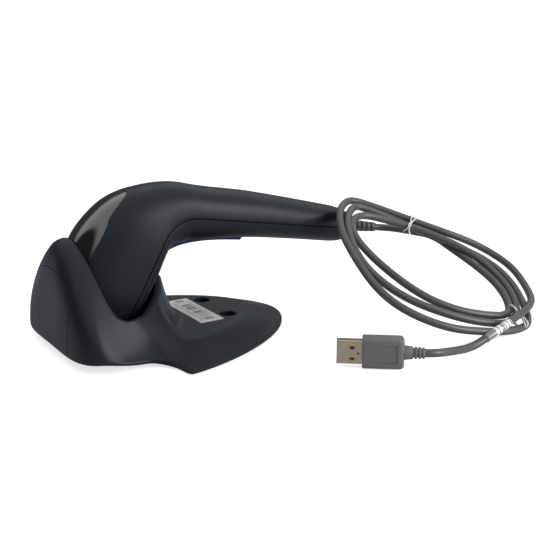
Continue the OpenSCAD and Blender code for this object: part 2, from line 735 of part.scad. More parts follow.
// USB plug lying on its narrow edge: x along the cable, y through the flat, z across
module on_plug() { translate(plug_at) rotate([0, 0, plug_yaw]) children(); }
function rounded(w, h, r) = [for (q = [0:3], a = [0:15:90])
    [(q == 0 || q == 3 ? 1 : -1) * (w / 2 - r), (q < 2 ? 1 : -1) * (h / 2 - r)]
        + r * [cos(a + 90 * q), sin(a + 90 * q)]];
usb_wall = 0.35;
usb_seat = 4;
grip_r = 2.4;
relief_slots = 3;
relief_from = 4.5;
relief_pitch = 1.8;
badge_l = 13;
badge_w = 9;
badge_deep = 0.4;
latch_size = 2.3;
latch_from = 7.6;
latch_z = 2.9;
module plug_grip() {
    rings = [for (i = [0:relief_slots - 1]) let (x = relief_from + relief_pitch * i) each [
        [relief_d / 2, x], [relief_d / 2 - rib_deep, x],
        [relief_d / 2 - rib_deep, x + rib_gap / 2], [relief_d / 2, x + rib_gap / 2]]];
    color(cable_grey) on_plug() {
        difference() {
            across(grip_l) polygon(rounded(plug_t, plug_w, grip_r));
            translate([-1, -usb_t / 2, -usb_w / 2]) cube([usb_seat + 1, usb_t, usb_w]);
            for (y = [-1, 1]) translate([grip_l / 2, y * plug_t / 2, 0])
                cube([badge_l, 2 * badge_deep, badge_w], center = true);
        }
        translate([grip_l, 0, 0]) rotate([0, 90, 0]) rotate_extrude($fn = 32)
            polygon(concat([[0, 0], [relief_d / 2, 0]], rings,
                [[relief_d / 2, relief_l], [0, relief_l]]));
    }
}
module plug_shell() {
    color(metal) on_plug() difference() {
        translate([-usb_l, -usb_t / 2, -usb_w / 2]) cube([usb_l + usb_seat, usb_t, usb_w]);
        translate([-usb_l - 1, -usb_t / 2 + usb_wall, -usb_w / 2 + usb_wall])
            cube([usb_l + usb_seat + 2, usb_t - 2 * usb_wall, usb_w - 2 * usb_wall]);
        for (z = [-latch_z, latch_z]) translate([latch_from - usb_l, 0, z])
            cube([latch_size, 2 * usb_t, latch_size], center = true);
    }
}
tongue_t = 1.8;
tongue_in = 0.6;
module plug_tongue() {
    color("#e6e4dd") on_plug()
        translate([tongue_in - usb_l, usb_t / 2 - usb_wall - tongue_t, -usb_w / 2 + usb_wall])
            cube([usb_l + usb_seat - tongue_in, tongue_t, usb_w - 2 * usb_wall]);
}
contact_pitch = 2.2;
contact_w = 1.2;
contact_t = 0.2;
contact_l = 8;
module plug_contacts() {
    color("goldenrod") on_plug() for (i = [-1.5:1:1.5])
        translate([2 * tongue_in - usb_l, usb_t / 2 - usb_wall - tongue_t - contact_t,
            i * contact_pitch - contact_w / 2]) cube([contact_l, contact_t, contact_w]);
}

// Holder: rings of ribs that run from the cup's rim out to the foot or the plate's edge
rib_steps = 72;
cup_lead = 4.1;
cup_x = bend_x - (bend_z - side_h) / tan(head_angle) - cup_lead;
cup_half_l = 25;
front_x = -96;
foot_x = -62;
plate_x = -50;
corner_turn = 70;
neck_turn = 90;
column_turn = 80;
arch_turn = 95;
arch_blend = 35;
lift_blend = 60;
flank_turn = 50;
flank_blend = 20;
floor_blend = 30;
fillet_turn = 40;
side_turn = 95;
front_lift = 5;
edge_t = 2;
fillet_r = 12;
flank_w = 24;
floor_t = 3.1;
floor_z = front_lift + floor_t;
plate_power = 2 / 1.45;
wing_power = 2 / 1.85;
foot_power = 2 / 5;
wall_power = 1 / 0.42;
spread_power = 1.6;
foot_pace = 1.5;
run_pace = 1.4;
fillet_power = 2.4;
side_power = 1.35;
// Plan of the cup's rim by angle, as shares of its half-length and half-width
rim_rows = [[-15, 1.1, -0.1], [0, 1.16, 0], [15, 1.1, 0.1], [30, 0.98, 0.27], [45, 0.76, 0.49],
    [60, 0.48, 0.7], [75, 0.18, 0.9], [90, -0.1, 1], [105, -0.36, 1], [120, -0.54, 0.92],
    [135, -0.64, 0.76], [150, -0.72, 0.52], [165, -0.82, 0.25], [180, -0.9, 0], [195, -0.82, -0.25]];
function rim_plan(b, inset) =
    let (d = [cup_half_l * curve(rim_rows, 1, b), cup_half_w * curve(rim_rows, 2, b)])
    [cup_x, 0] + d - inset * d / norm(d);
function rim_z(b) = side_h + (arch_h - side_h) * ease((b - arch_turn) / (180 - arch_turn))
    + (column_h - side_h) * ease((column_turn - b) / column_turn);
function plate_edge(b) = let (p = 90 * b / corner_turn) [
    plate_x + (plate_tip - plate_x) * power(cos(p), plate_power),
    plate_half_w * power(sin(p), wing_power)];
function foot_edge(b, inset, half_w) =
    let (p = mix(90, 180, pow(max(0, (b - neck_turn) / (180 - neck_turn)), foot_pace))) [
    foot_x + (foot_x - front_x - inset) * power(cos(p), foot_power), half_w * power(sin(p), foot_power)];
function edge_plan(b) =
    b <= corner_turn ? plate_edge(b)
    : b < neck_turn ? let (q = 90 * (b - corner_turn) / (neck_turn - corner_turn))
        [mix(foot_x, plate_x, cos(q)), mix(plate_half_w, foot_half_w, sin(q))]
    : foot_edge(b, 0, foot_half_w);
function edge_z(b) = mix(foot_h, front_lift, ease((b - corner_turn) / lift_blend));
function spread(v) = 1 - pow(1 - v, spread_power);
function bulge(v) = pow(1 - pow(1 - v, wall_power), 1 / wall_power);
function arch_share(b) = ease((b - arch_turn) / arch_blend);
function flank_z(b, left) =
    let (low = edge_z(b) + edge_t, top = mix(plateau_h, low, ease((b - flank_turn) / flank_blend)))
    low + (top - low) * ease(left / flank_w);
// Outer face at angle b, from the rim (v = 0) to the edge (v = 1): shares along X and Y, and height
function outer_face(b, v) =
    let (l = norm(edge_plan(b) - rim_plan(b, 0)), s = l * pow(v, run_pace))
    let (reach = mix(fillet_r, l, ease((b - fillet_turn) / (corner_turn - fillet_turn))))
    let (p = mix(fillet_power, side_power, ease((b - corner_turn) / (side_turn - corner_turn))))
    let (rise = (rim_z(b) - flank_z(b, l)) * pow(max(0, 1 - s / reach), p))
    let (rear = [s / l, s / l, flank_z(b, l - s) + rise])
    let (front = [bulge(v), spread(v), mix(rim_z(b), edge_z(b) + edge_t, v)])
    mix(rear, front, arch_share(b));
function blend(p, q, share) = [mix(p[0], q[0], share[0]), mix(p[1], q[1], share[1])];
function place_rib(a, plan, z) = let (side = a > 180 ? -1 : 1) [plan[0], side * plan[1], z];
function fold(a) = a > 180 ? 360 - a : a;
function outer_point(a, v) = let (b = fold(a), f = outer_face(b, v))
    place_rib(a, blend(rim_plan(b, 0), edge_plan(b), f), f[2]);
under_rim = 2.5;
function under_point(a, share) =
    let (b = fold(a), l = norm(edge_plan(b) - rim_plan(b, 0)), s = max(0, l - under_rim) * share)
    let (hollow = max(edge_z(b), flank_z(b, l - s) - skin_t))
    place_rib(a, mix(rim_plan(b, 0), edge_plan(b), s / l), share == 1 ? edge_z(b) : hollow);
floor_inset = 5;
function floor_plan(b) = mix(rim_plan(b, cup_wall + 1),
    foot_edge(b, floor_inset, cup_half_w - cup_wall), ease((b - neck_turn) / floor_blend));
function inner_point(a, v) =
    let (b = fold(a), front = arch_share(b))
    let (share = [mix(v, bulge(v), front), mix(v, spread(v), front)])
    place_rib(a, blend(rim_plan(b, cup_wall), floor_plan(b), share), mix(rim_z(b), floor_z, v));
function pool_point(a, share, z) = let (b = fold(a))
    place_rib(a, mix([cup_x, 0], rim_plan(b, 0), share), z);
rib_angles = [for (i = [0:rib_steps - 1]) 360 * i / rib_steps];
pool_share = 0.5;
under_shares = [0, 0.3, 0.55, 0.8, 0.96, 1];
outer_shares = [1, 0.93, 0.85, 0.75, 0.65, 0.55, 0.45, 0.36, 0.28, 0.18, 0.08, 0];
inner_shares = [0, 0.08, 0.25, 0.5, 0.75, 1];
holder_rings = concat(
    [[for (a = rib_angles) pool_point(a, pool_share, front_lift)]],
    [for (share = under_shares) [for (a = rib_angles) under_point(a, share)]],
    [[for (a = rib_angles) place_rib(a, edge_plan(fold(a)), edge_z(fold(a)))]],
    [for (v = outer_shares) [for (a = rib_angles) outer_point(a, v)]],
    [for (v = inner_shares) [for (a = rib_angles) inner_point(a, v)]]);
foot_d = 10;
foot_in = 14;
foot_room = 0.4;
tip_foot_in = 24;
tip_foot_share = 0.31;
side_foot_in = 6;
side_foot_x = plate_x + side_foot_in;
foot_spots = [for (side = [-1, 1]) each [[side_foot_x, side * (plate_half_w - foot_in)],
    [plate_tip - tip_foot_in, side * plate_half_w * tip_foot_share]]];
boss_rim = 2;
foot_boss_d = foot_d + boss_rim;
foot_boss_rise = (plateau_h - foot_h - edge_t) * ease((foot_in - foot_boss_d / 2) / flank_w);
foot_boss_h = edge_t + foot_boss_rise - foot_room;
recess_deep = 4.5;
module holder_shell() {
    color(charcoal) difference() {
        union() {
            loft(holder_rings);
            for (y = [-1, 1]) translate([0, y * screw_pitch / 2, foot_h])
                cylinder(d = recess_d + 2 * boss_rim, h = plateau_h - skin_t / 2 - foot_h, $fn = 48);
            for (p = foot_spots) translate([p[0], p[1], foot_h])
                cylinder(d = foot_boss_d, h = foot_boss_h, $fn = 48);
        }
        for (y = [-1, 1]) translate([0, y * screw_pitch / 2, 0]) {
            translate([0, 0, -1]) cylinder(d = hole_d, h = plateau_h + 2, $fn = 48);
            translate([0, 0, plateau_h - recess_deep])
                cylinder(d = recess_d, h = 2 * recess_deep, $fn = 48);
        }
    }
}
module rubber_feet() {
    color("#16181a") for (p = foot_spots) translate([p[0], p[1], 0])
        cylinder(d = foot_d, h = foot_h, $fn = 48);
}
label_at = [-13.5, 0];
label_size = [14, 44];
label_t = 0.2;
module holder_label() {
    color("white") translate([label_at[0], label_at[1], plateau_h + label_t / 2])
        cube([label_size[0], label_size[1], label_t], center = true);
}

holder_shell();
rubber_feet();
holder_label();
upper_housing();
lower_housing();
head_panel();
nose_bezel();
scan_window();
engine_chassis();
lens_barrel();
front_lens();
lamp_lenses();
sensor_board();
ribbon_cable();
main_board();
decoder_chips();
beeper();
trigger_bracket();
trigger();
trigger_pin();
trigger_spring();
switch_body();
switch_plunger();
housing_screws();
cable_jack();
modular_plug();
cable_boot();
cord_lead();
cord_loop();
cord_tail();
loop_ties();
cord_label();
plug_grip();
plug_shell();
plug_tongue();
plug_contacts();
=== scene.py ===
"""Handheld barcode scanner resting in its desk holder, with its tied USB cable."""
from __future__ import annotations

import logging
import math
from dataclasses import dataclass, field
from enum import Enum
from typing import Callable, Mapping, Sequence

import bmesh
import bpy
from mathutils import Matrix, Vector
from mathutils.bvhtree import BVHTree


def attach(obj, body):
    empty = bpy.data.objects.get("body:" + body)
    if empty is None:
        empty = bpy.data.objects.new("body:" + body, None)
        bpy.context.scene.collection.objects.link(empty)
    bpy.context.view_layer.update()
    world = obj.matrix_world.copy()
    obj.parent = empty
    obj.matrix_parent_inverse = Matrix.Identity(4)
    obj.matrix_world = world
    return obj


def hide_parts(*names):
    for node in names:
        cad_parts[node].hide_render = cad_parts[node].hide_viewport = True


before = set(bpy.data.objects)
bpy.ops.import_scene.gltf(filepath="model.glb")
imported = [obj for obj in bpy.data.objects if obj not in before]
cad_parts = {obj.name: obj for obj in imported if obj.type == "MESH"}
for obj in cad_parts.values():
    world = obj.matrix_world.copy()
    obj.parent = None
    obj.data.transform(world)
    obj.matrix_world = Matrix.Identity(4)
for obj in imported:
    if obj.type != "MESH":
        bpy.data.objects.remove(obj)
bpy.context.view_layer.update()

LOG = logging.getLogger("scanner")
MM = 0.001
Pair = tuple[float, float]
Triple = tuple[float, float, float]
Row = tuple[float, bool, float]
Input = "float | Triple | Value"


def mix(a: float, b: float, t: float) -> float:
    """Value a share t of the way from a to b."""
    return a + (b - a) * t


def ease(x: float) -> float:
    """Smooth step from 0 to 1."""
    t = min(1.0, max(0.0, x))
    return t * t * (3 - 2 * t)


def power(x: float, exponent: float) -> float:
    """Power of a number that keeps its sign."""
    return math.copysign(abs(x) ** exponent, x)


def spline_point(points: Sequence[Vector], u: float) -> Vector:
    """Point of the smooth curve that a cable follows.

    Args:
        points: The curve's control points.
        u: Place along the curve, counted in its points.

    Returns:
        The point.
    """
    i = int(u)
    t = u - i
    shares = ((1 - t) ** 3, 3 * t ** 3 - 6 * t * t + 4, 1 + 3 * t + 3 * t * t - 3 * t ** 3, t ** 3)
    return sum((share * p for share, p in zip(shares, points[i - 1:i + 3])), Vector((0, 0, 0))) / 6


def span(a: float, b: float, count: int) -> list[float]:
    """Evenly spaced values from a to b, count steps apart."""
    return [mix(a, b, i / count) for i in range(count + 1)]


def linear(red: int, green: int, blue: int) -> Triple:
    """Linear colour of a screen colour given in 0 to 255."""
    def channel(c: int) -> float:
        """One channel, from screen to linear."""
        s = c / 255
        return s / 12.92 if s <= 0.04045 else ((s + 0.055) / 1.055) ** 2.4
    return channel(red), channel(green), channel(blue)


@dataclass(frozen=True)
class Rows:
    """A smooth curve through rows of (position, value, value, ...)."""
    rows: tuple[tuple[float, ...], ...]

    def slope(self, column: int, i: int) -> float:
        """Slope of a column at row i."""
        a, b = self.rows[max(0, i - 1)], self.rows[min(len(self.rows) - 1, i + 1)]
        return (b[column] - a[column]) / (b[0] - a[0])

    def at(self, column: int, x: float) -> float:
        """Reads the curve.

        Args:
            column: Which value of the rows to read.
            x: Position along the rows.

        Returns:
            The value of the column at x.
        """
        i = 0
        while i < len(self.rows) - 2 and x >= self.rows[i + 1][0]:
            i += 1
        p, q = self.rows[i], self.rows[i + 1]
        h = q[0] - p[0]
        t = (x - p[0]) / h
        m, n = self.slope(column, i) * h, self.slope(column, i + 1) * h
        return (p[column] * (2 * t ** 3 - 3 * t ** 2 + 1) + m * (t ** 3 - 2 * t ** 2 + t)
                + q[column] * (3 * t ** 2 - 2 * t ** 3) + n * (t ** 3 - t ** 2))


class Body(Enum):
    """The bodies that pieces ride on."""
    HOLDER = "holder"
    SCANNER = "scanner"
    TRIGGER = "trigger"
    PLUNGER = "plunger"


class Carve(Enum):
    """Ways to work one solid with another."""
    CUT = "DIFFERENCE"
    JOIN = "UNION"


def operator(operation: str, flipped: bool = False) -> Callable[["Value", Input], "Value"]:
    """Makes an arithmetic method that adds one Math node.

    Args:
        operation: The node's operation.
        flipped: Whether the operands change places.

    Returns:
        The method.
    """
    def method(self: "Value", other: Input = 0.0) -> "Value":
        """Adds the node for this value and the other."""
        a, b = (other, self) if flipped else (self, other)
        return self.graph.add("ShaderNodeMath", {"operation": operation}, {0: a, 1: b})
    return method


class Value:
    """A shader socket that takes part in Python arithmetic."""

    def __init__(self, graph: "Graph", socket: bpy.types.NodeSocket) -> None:
        """Wraps one output socket of a graph."""
        self.graph = graph
        self.socket = socket

    __add__ = __radd__ = operator("ADD")
    __sub__ = operator("SUBTRACT")
    __rsub__ = operator("SUBTRACT", True)
    __mul__ = __rmul__ = operator("MULTIPLY")
    __lt__ = operator("LESS_THAN")
    __gt__ = operator("GREATER_THAN")
    __mod__ = operator("FLOORED_MODULO")
    __abs__ = operator("ABSOLUTE")


class Graph:
    """The node tree of one material, with a Principled shader to feed."""

    def __init__(self, name: str) -> None:
        """Starts a material of that name."""
        self.material = bpy.data.materials.new(name)
        self.material.use_nodes = True
        self.tree = self.material.node_tree
        self.shader = self.tree.nodes["Principled BSDF"]

    def add(self, kind: str, settings: Mapping[str, object] | None = None,
            inputs: Mapping[int | str, Input] | None = None, output: int | str = 0) -> Value:
        """Adds any node.

        Args:
            kind: The node's type.
            settings: Its own settings, set first.
            inputs: Values or links of its sockets.
            output: Which output to return.

        Returns:
            That output.
        """
        node = self.tree.nodes.new(kind)
        for key, setting in (settings or {}).items():
            setattr(node, key, setting)
        for key, value in (inputs or {}).items():
            self.feed(node.inputs[key], value)
        return Value(self, node.outputs[output])

    def feed(self, socket: bpy.types.NodeSocket, value: Input) -> None:
        """Links or sets one input socket.

        Args:
            socket: The input.
            value: A link, a number, or a colour or vector.
        """
        if isinstance(value, Value):
            self.tree.links.new(value.socket, socket)
        elif isinstance(value, tuple) and len(value) == 3 and len(socket.default_value) == 4:
            socket.default_value = (*value, 1.0)
        else:
            socket.default_value = value

    def set(self, **inputs: Input) -> None:
        """Feeds the shader's inputs, named with _ for a space."""
        for key, value in inputs.items():
            self.feed(self.shader.inputs[key.replace("_", " ")], value)

    def place(self) -> Value:
        """Object coordinates."""
        return self.add("ShaderNodeTexCoord", output="Object")

    def axis(self, which: int) -> Value:
        """One Object coordinate in millimetres."""
        parts = self.add("ShaderNodeSeparateXYZ", inputs={0: self.place()}, output=which)
        return parts * (1 / MM)

    def noise(self, size: float, detail: float = 3.0, roughness: float = 0.5) -> Value:
        """Noise on Object coordinates.

        Args:
            size: Size of its features, in millimetres.
            detail: Octaves.
            roughness: Weight of the finer octaves.

        Returns:
            Noise from 0 to 1.
        """
        return self.add("ShaderNodeTexNoise", inputs={
            "Vector": self.place(), "Scale": 1 / (size * MM), "Detail": detail, "Roughness": roughness})

    def blend(self, share: Input, a: Input, b: Input) -> Value:
        """Mixes two colours by a share."""
        return self.add("ShaderNodeMix", {"data_type": "RGBA"}, {0: share, 6: a, 7: b}, 2)

    def bump(self, height: Value, depth: float, strength: float = 1.0) -> None:
        """Feeds a bump into the shader's normal.

        Args:
            height: Height from 0 to 1.
            depth: Depth in millimetres.
            strength: Share of the bump that is used.
        """
        normal = self.add("ShaderNodeBump", inputs={
            "Height": height, "Distance": depth * MM, "Strength": strength})
        self.set(Normal=normal)


@dataclass(frozen=True)
class Finish:
    """A surface finish; each kind paints its own nodes."""
    name: str
    slot: str
    colour: Triple
    roughness: float

    def shade(self, share: float) -> Triple:
        """The colour, darker or lighter by a share."""
        return tuple(share * c for c in self.colour)

    def paint(self, graph: Graph) -> None:
        """Paints a plain finish with a little unevenness."""
        tone = graph.noise(6.0)
        graph.set(Base_Color=graph.blend(tone, self.shade(0.9), self.colour),
                  Roughness=self.roughness + (tone - 0.5) * 0.08)

    def material(self) -> bpy.types.Material:
        """The finish's material, made once."""
        found = bpy.data.materials.get(self.name)
        if found:
            return found
        graph = Graph(self.name)
        self.paint(graph)
        return graph.material


@dataclass(frozen=True)
class MouldedPlastic(Finish):
    """Injection-moulded plastic with a fine spark-eroded grain."""
    grain: float = 0.35
    depth: float = 0.02
    variation: float = 0.12
    gleam: float = 0.5

    def paint(self, graph: Graph) -> None:
        """Paints the moulded skin: broad tone, fine grain, uneven gloss."""
        broad = graph.noise(24.0, 2.0)
        fine = graph.noise(self.grain, 3.0, 0.6)
        share = broad * 0.7 + fine * 0.3
        dark = self.shade(1 - self.variation)
        light = self.shade(1 + self.variation)
        graph.set(Base_Color=graph.blend(share, dark, light),
                  Roughness=self.roughness + (fine - 0.5) * 0.16 + (broad - 0.5) * 0.06,
                  Specular_IOR_Level=self.gleam)
        graph.bump(fine, self.depth)


@dataclass(frozen=True)
class GlossPlastic(Finish):
    """Polished plastic under a clear hard coat."""
    coat: float = 1.0
    gleam: float = 0.9

    def paint(self, graph: Graph) -> None:
        """Paints deep colour under a coat with faint wipe marks."""
        wipe = graph.noise(9.0, 4.0, 0.65)
        graph.set(Base_Color=graph.blend(wipe, self.shade(0.8), self.colour),
                  Roughness=self.roughness + wipe * 0.05, Coat_Weight=self.coat, Coat_Roughness=0.04,
                  Specular_IOR_Level=self.gleam)


@dataclass(frozen=True)
class CableJacket(Finish):
    """Soft vinyl jacket with a faint extrusion grain."""

    def paint(self, graph: Graph) -> None:
        """Paints the jacket's tone, handling marks and fine skin."""
        broad = graph.noise(18.0, 3.0)
        skin = graph.noise(0.5, 4.0, 0.6)
        share = broad * 0.6 + skin * 0.4
        dark = self.shade(0.86)
        light = self.shade(1.1)
        graph.set(Base_Color=graph.blend(share, dark, light),
                  Roughness=self.roughness + (broad - 0.5) * 0.14 + (skin - 0.5) * 0.1)
        graph.bump(skin, 0.015)


@dataclass(frozen=True)
class Plating(Finish):
    """Plated sheet metal with fine rolling marks."""
    stretch: float = 14.0

    def paint(self, graph: Graph) -> None:
        """Paints the metal with drawn-out scratches and dull patches."""
        turned = graph.add("ShaderNodeMapping", {"vector_type": "POINT"},
                           {"Vector": graph.place(), "Scale": (1.0, 1.0, self.stretch)})
        marks = graph.add("ShaderNodeTexNoise", inputs={
            "Vector": turned, "Scale": 260.0, "Detail": 4.0, "Roughness": 0.7})
        dull = graph.noise(3.0)
        graph.set(Base_Color=graph.blend(dull, self.shade(0.85), self.colour),
                  Metallic=1.0, Roughness=self.roughness + (marks - 0.5) * 0.12 + (dull - 0.5) * 0.1)
        graph.bump(marks, 0.006)


@dataclass(frozen=True)
class BarLabel(Finish):
    """Paper label with plain grey bars along Y."""
    ink: Triple = (0.12, 0.12, 0.13)
    middle: Pair = (-13.5, 0.0)
    half: Pair = (7.0, 22.0)

    def paint(self, graph: Graph) -> None:
        """Paints paper fibre, a row of bars and two plain ruled strips."""
        across = graph.axis(0) - self.middle[0]
        along = graph.axis(1) - self.middle[1]
        steps = graph.add("ShaderNodeTexWhiteNoise", {"noise_dimensions": "1D"},
                          {"W": graph.add("ShaderNodeMath", {"operation": "FLOOR"}, {0: along * 1.7})})
        bars = (steps > 0.42) * (abs(across - 0.6) < 2.7) * (abs(along) < self.half[1] - 2.5)
        rule = (abs(across + 3.7) < 0.35) * (abs(along + 1.0) < self.half[1] - 4.0)
        rule2 = (abs(across - 4.5) < 0.3) * (abs(along - 2.0) < self.half[1] - 8.0)
        fibre = graph.noise(0.4, 4.0, 0.7)
        paper = graph.blend(fibre, self.shade(0.9), self.colour)
        graph.set(Base_Color=graph.blend(bars * 0.8 + rule * 0.6 + rule2 * 0.55, paper, self.ink),
                  Roughness=self.roughness + (fibre - 0.5) * 0.1)
        graph.bump(fibre, 0.01)


@dataclass(frozen=True)
class CircuitBoard(Finish):
    """Solder mask over copper tracks."""

    def paint(self, graph: Graph) -> None:
        """Paints the mask with paler tracks and copper pads."""
        tracks = graph.add("ShaderNodeTexBrick", {"offset": 0.5}, {
            "Vector": graph.place(), "Scale": 160.0, "Mortar Size": 0.06, "Mortar Smooth": 0.1}, "Fac")
        pads = graph.add("ShaderNodeTexVoronoi", inputs={
            "Vector": graph.place(), "Scale": 320.0}, output="Distance") < 0.16
        mask = graph.blend(tracks, self.colour, self.shade(1.9))
        graph.set(Base_Color=graph.blend(pads, mask, (0.55, 0.42, 0.16)),
                  Roughness=self.roughness + pads * 0.1, Coat_Weight=0.4)
        graph.bump(tracks, 0.03)


@dataclass(frozen=True)
class TintedGlass(Finish):
    """Clear or tinted window."""
    transmission: float = 0.85

    def paint(self, graph: Graph) -> None:
        """Paints the tint with a faint coating bloom."""
        bloom = graph.noise(5.0)
        graph.set(Base_Color=graph.blend(bloom, self.colour, self.shade(0.92)),
                  Roughness=self.roughness + bloom * 0.03, Transmission_Weight=self.transmission, IOR=1.49)


@dataclass(frozen=True)
class FlexFilm(Finish):
    """Polyimide film with copper runs along it."""

    def paint(self, graph: Graph) -> None:
        """Paints the film with its parallel copper runs."""
        runs = (graph.axis(1) % 1.0) < 0.45
        graph.set(Base_Color=graph.blend(runs, self.colour, (0.62, 0.36, 0.14)),
                  Roughness=self.roughness + graph.noise(2.0) * 0.1, Metallic=runs * 0.3)


@dataclass(frozen=True)
class PrintedFilm(Finish):
    """Clear film round the cable with two white patches and plain marks."""
    way: Triple = (1.0, 0.0, 0.0)
    start: float = 0.0
    patches: tuple[Pair, ...] = ((6.0, 11.2), (12.4, 20.0))
    white: Triple = (0.82, 0.83, 0.82)
    ink: Triple = (0.05, 0.05, 0.055)

    def paint(self, graph: Graph) -> None:
        """Paints the film, its patches and a row of short bars on them."""
        along = graph.add("ShaderNodeVectorMath", {"operation": "DOT_PRODUCT"},
                          {0: graph.place(), 1: self.way}, "Value") * (1 / MM) - self.start
        wear = graph.noise(1.2, 4.0, 0.7)
        shown = sum((abs(along - (a + b) / 2) < (b - a) / 2 for a, b in self.patches), start=wear * 0.12)
        bars = ((along % 2.6) < 0.8) * (shown > 0.6) * (wear > 0.42)
        printed = graph.blend(shown, self.colour, self.white)
        graph.set(Base_Color=graph.blend(bars * 0.85, printed, self.ink),
                  Roughness=self.roughness + wear * 0.15, Coat_Weight=0.6, Coat_Roughness=0.1)
        graph.bump(wear, 0.02)


CHARCOAL = MouldedPlastic("charcoal_plastic", "charcoal", linear(22, 29, 35), 0.42, gleam=0.22)
CHARCOAL_HOLDER = MouldedPlastic("charcoal_holder", "charcoal", linear(24, 31, 38), 0.42, 0.3, 0.018,
                                 gleam=0.22)
GLOSS = GlossPlastic("gloss_black_panel", "gloss_panel", linear(6, 7, 8), 0.1, 1.0, 0.9)
WINDOW = TintedGlass("tinted_window", "window", linear(96, 26, 30), 0.03)
LENS = TintedGlass("coated_lens", "lens", linear(150, 178, 205), 0.02)
RUBBER = MouldedPlastic("soft_rubber", "foot_rubber", linear(26, 28, 30), 0.8, 0.6, 0.05)
LABEL = BarLabel("bar_label", "label", linear(232, 232, 228), 0.62)
ENGINE = MouldedPlastic("engine_moulding", "engine_black", linear(24, 26, 28), 0.5, 0.3, 0.015)
BOARD = CircuitBoard("solder_mask", "board", linear(24, 84, 52), 0.35)
FLEX = FlexFilm("flex_film", "flex", linear(196, 140, 62), 0.3)
BRACKET = MouldedPlastic("bracket_nylon", "bracket", linear(62, 66, 70), 0.55, 0.5, 0.02)
BLUE = MouldedPlastic("blue_plastic", "trigger_blue", linear(13, 34, 82), 0.42, 0.3, 0.015, gleam=0.25)
STEEL = Plating("zinc_steel", "steel", linear(176, 180, 184), 0.32)
IVORY = MouldedPlastic("ivory_plastic", "ivory", linear(226, 222, 208), 0.45, 0.5, 0.01, 0.05)
CLEAR = TintedGlass("clear_styrene", "clear_plastic", linear(222, 230, 234), 0.08, 0.7)
JACKET = CableJacket("cable_vinyl", "cable", linear(76, 77, 75), 0.4)
GRIP = CableJacket("plug_vinyl", "cable", linear(106, 106, 104), 0.48)
THREAD = Finish("white_thread", "tie_white", linear(236, 236, 232), 0.5)
NICKEL = Plating("warm_nickel", "plated", linear(172, 160, 140), 0.24, 6.0)
GOLD = Plating("contact_gold", "gold", linear(226, 182, 92), 0.22)


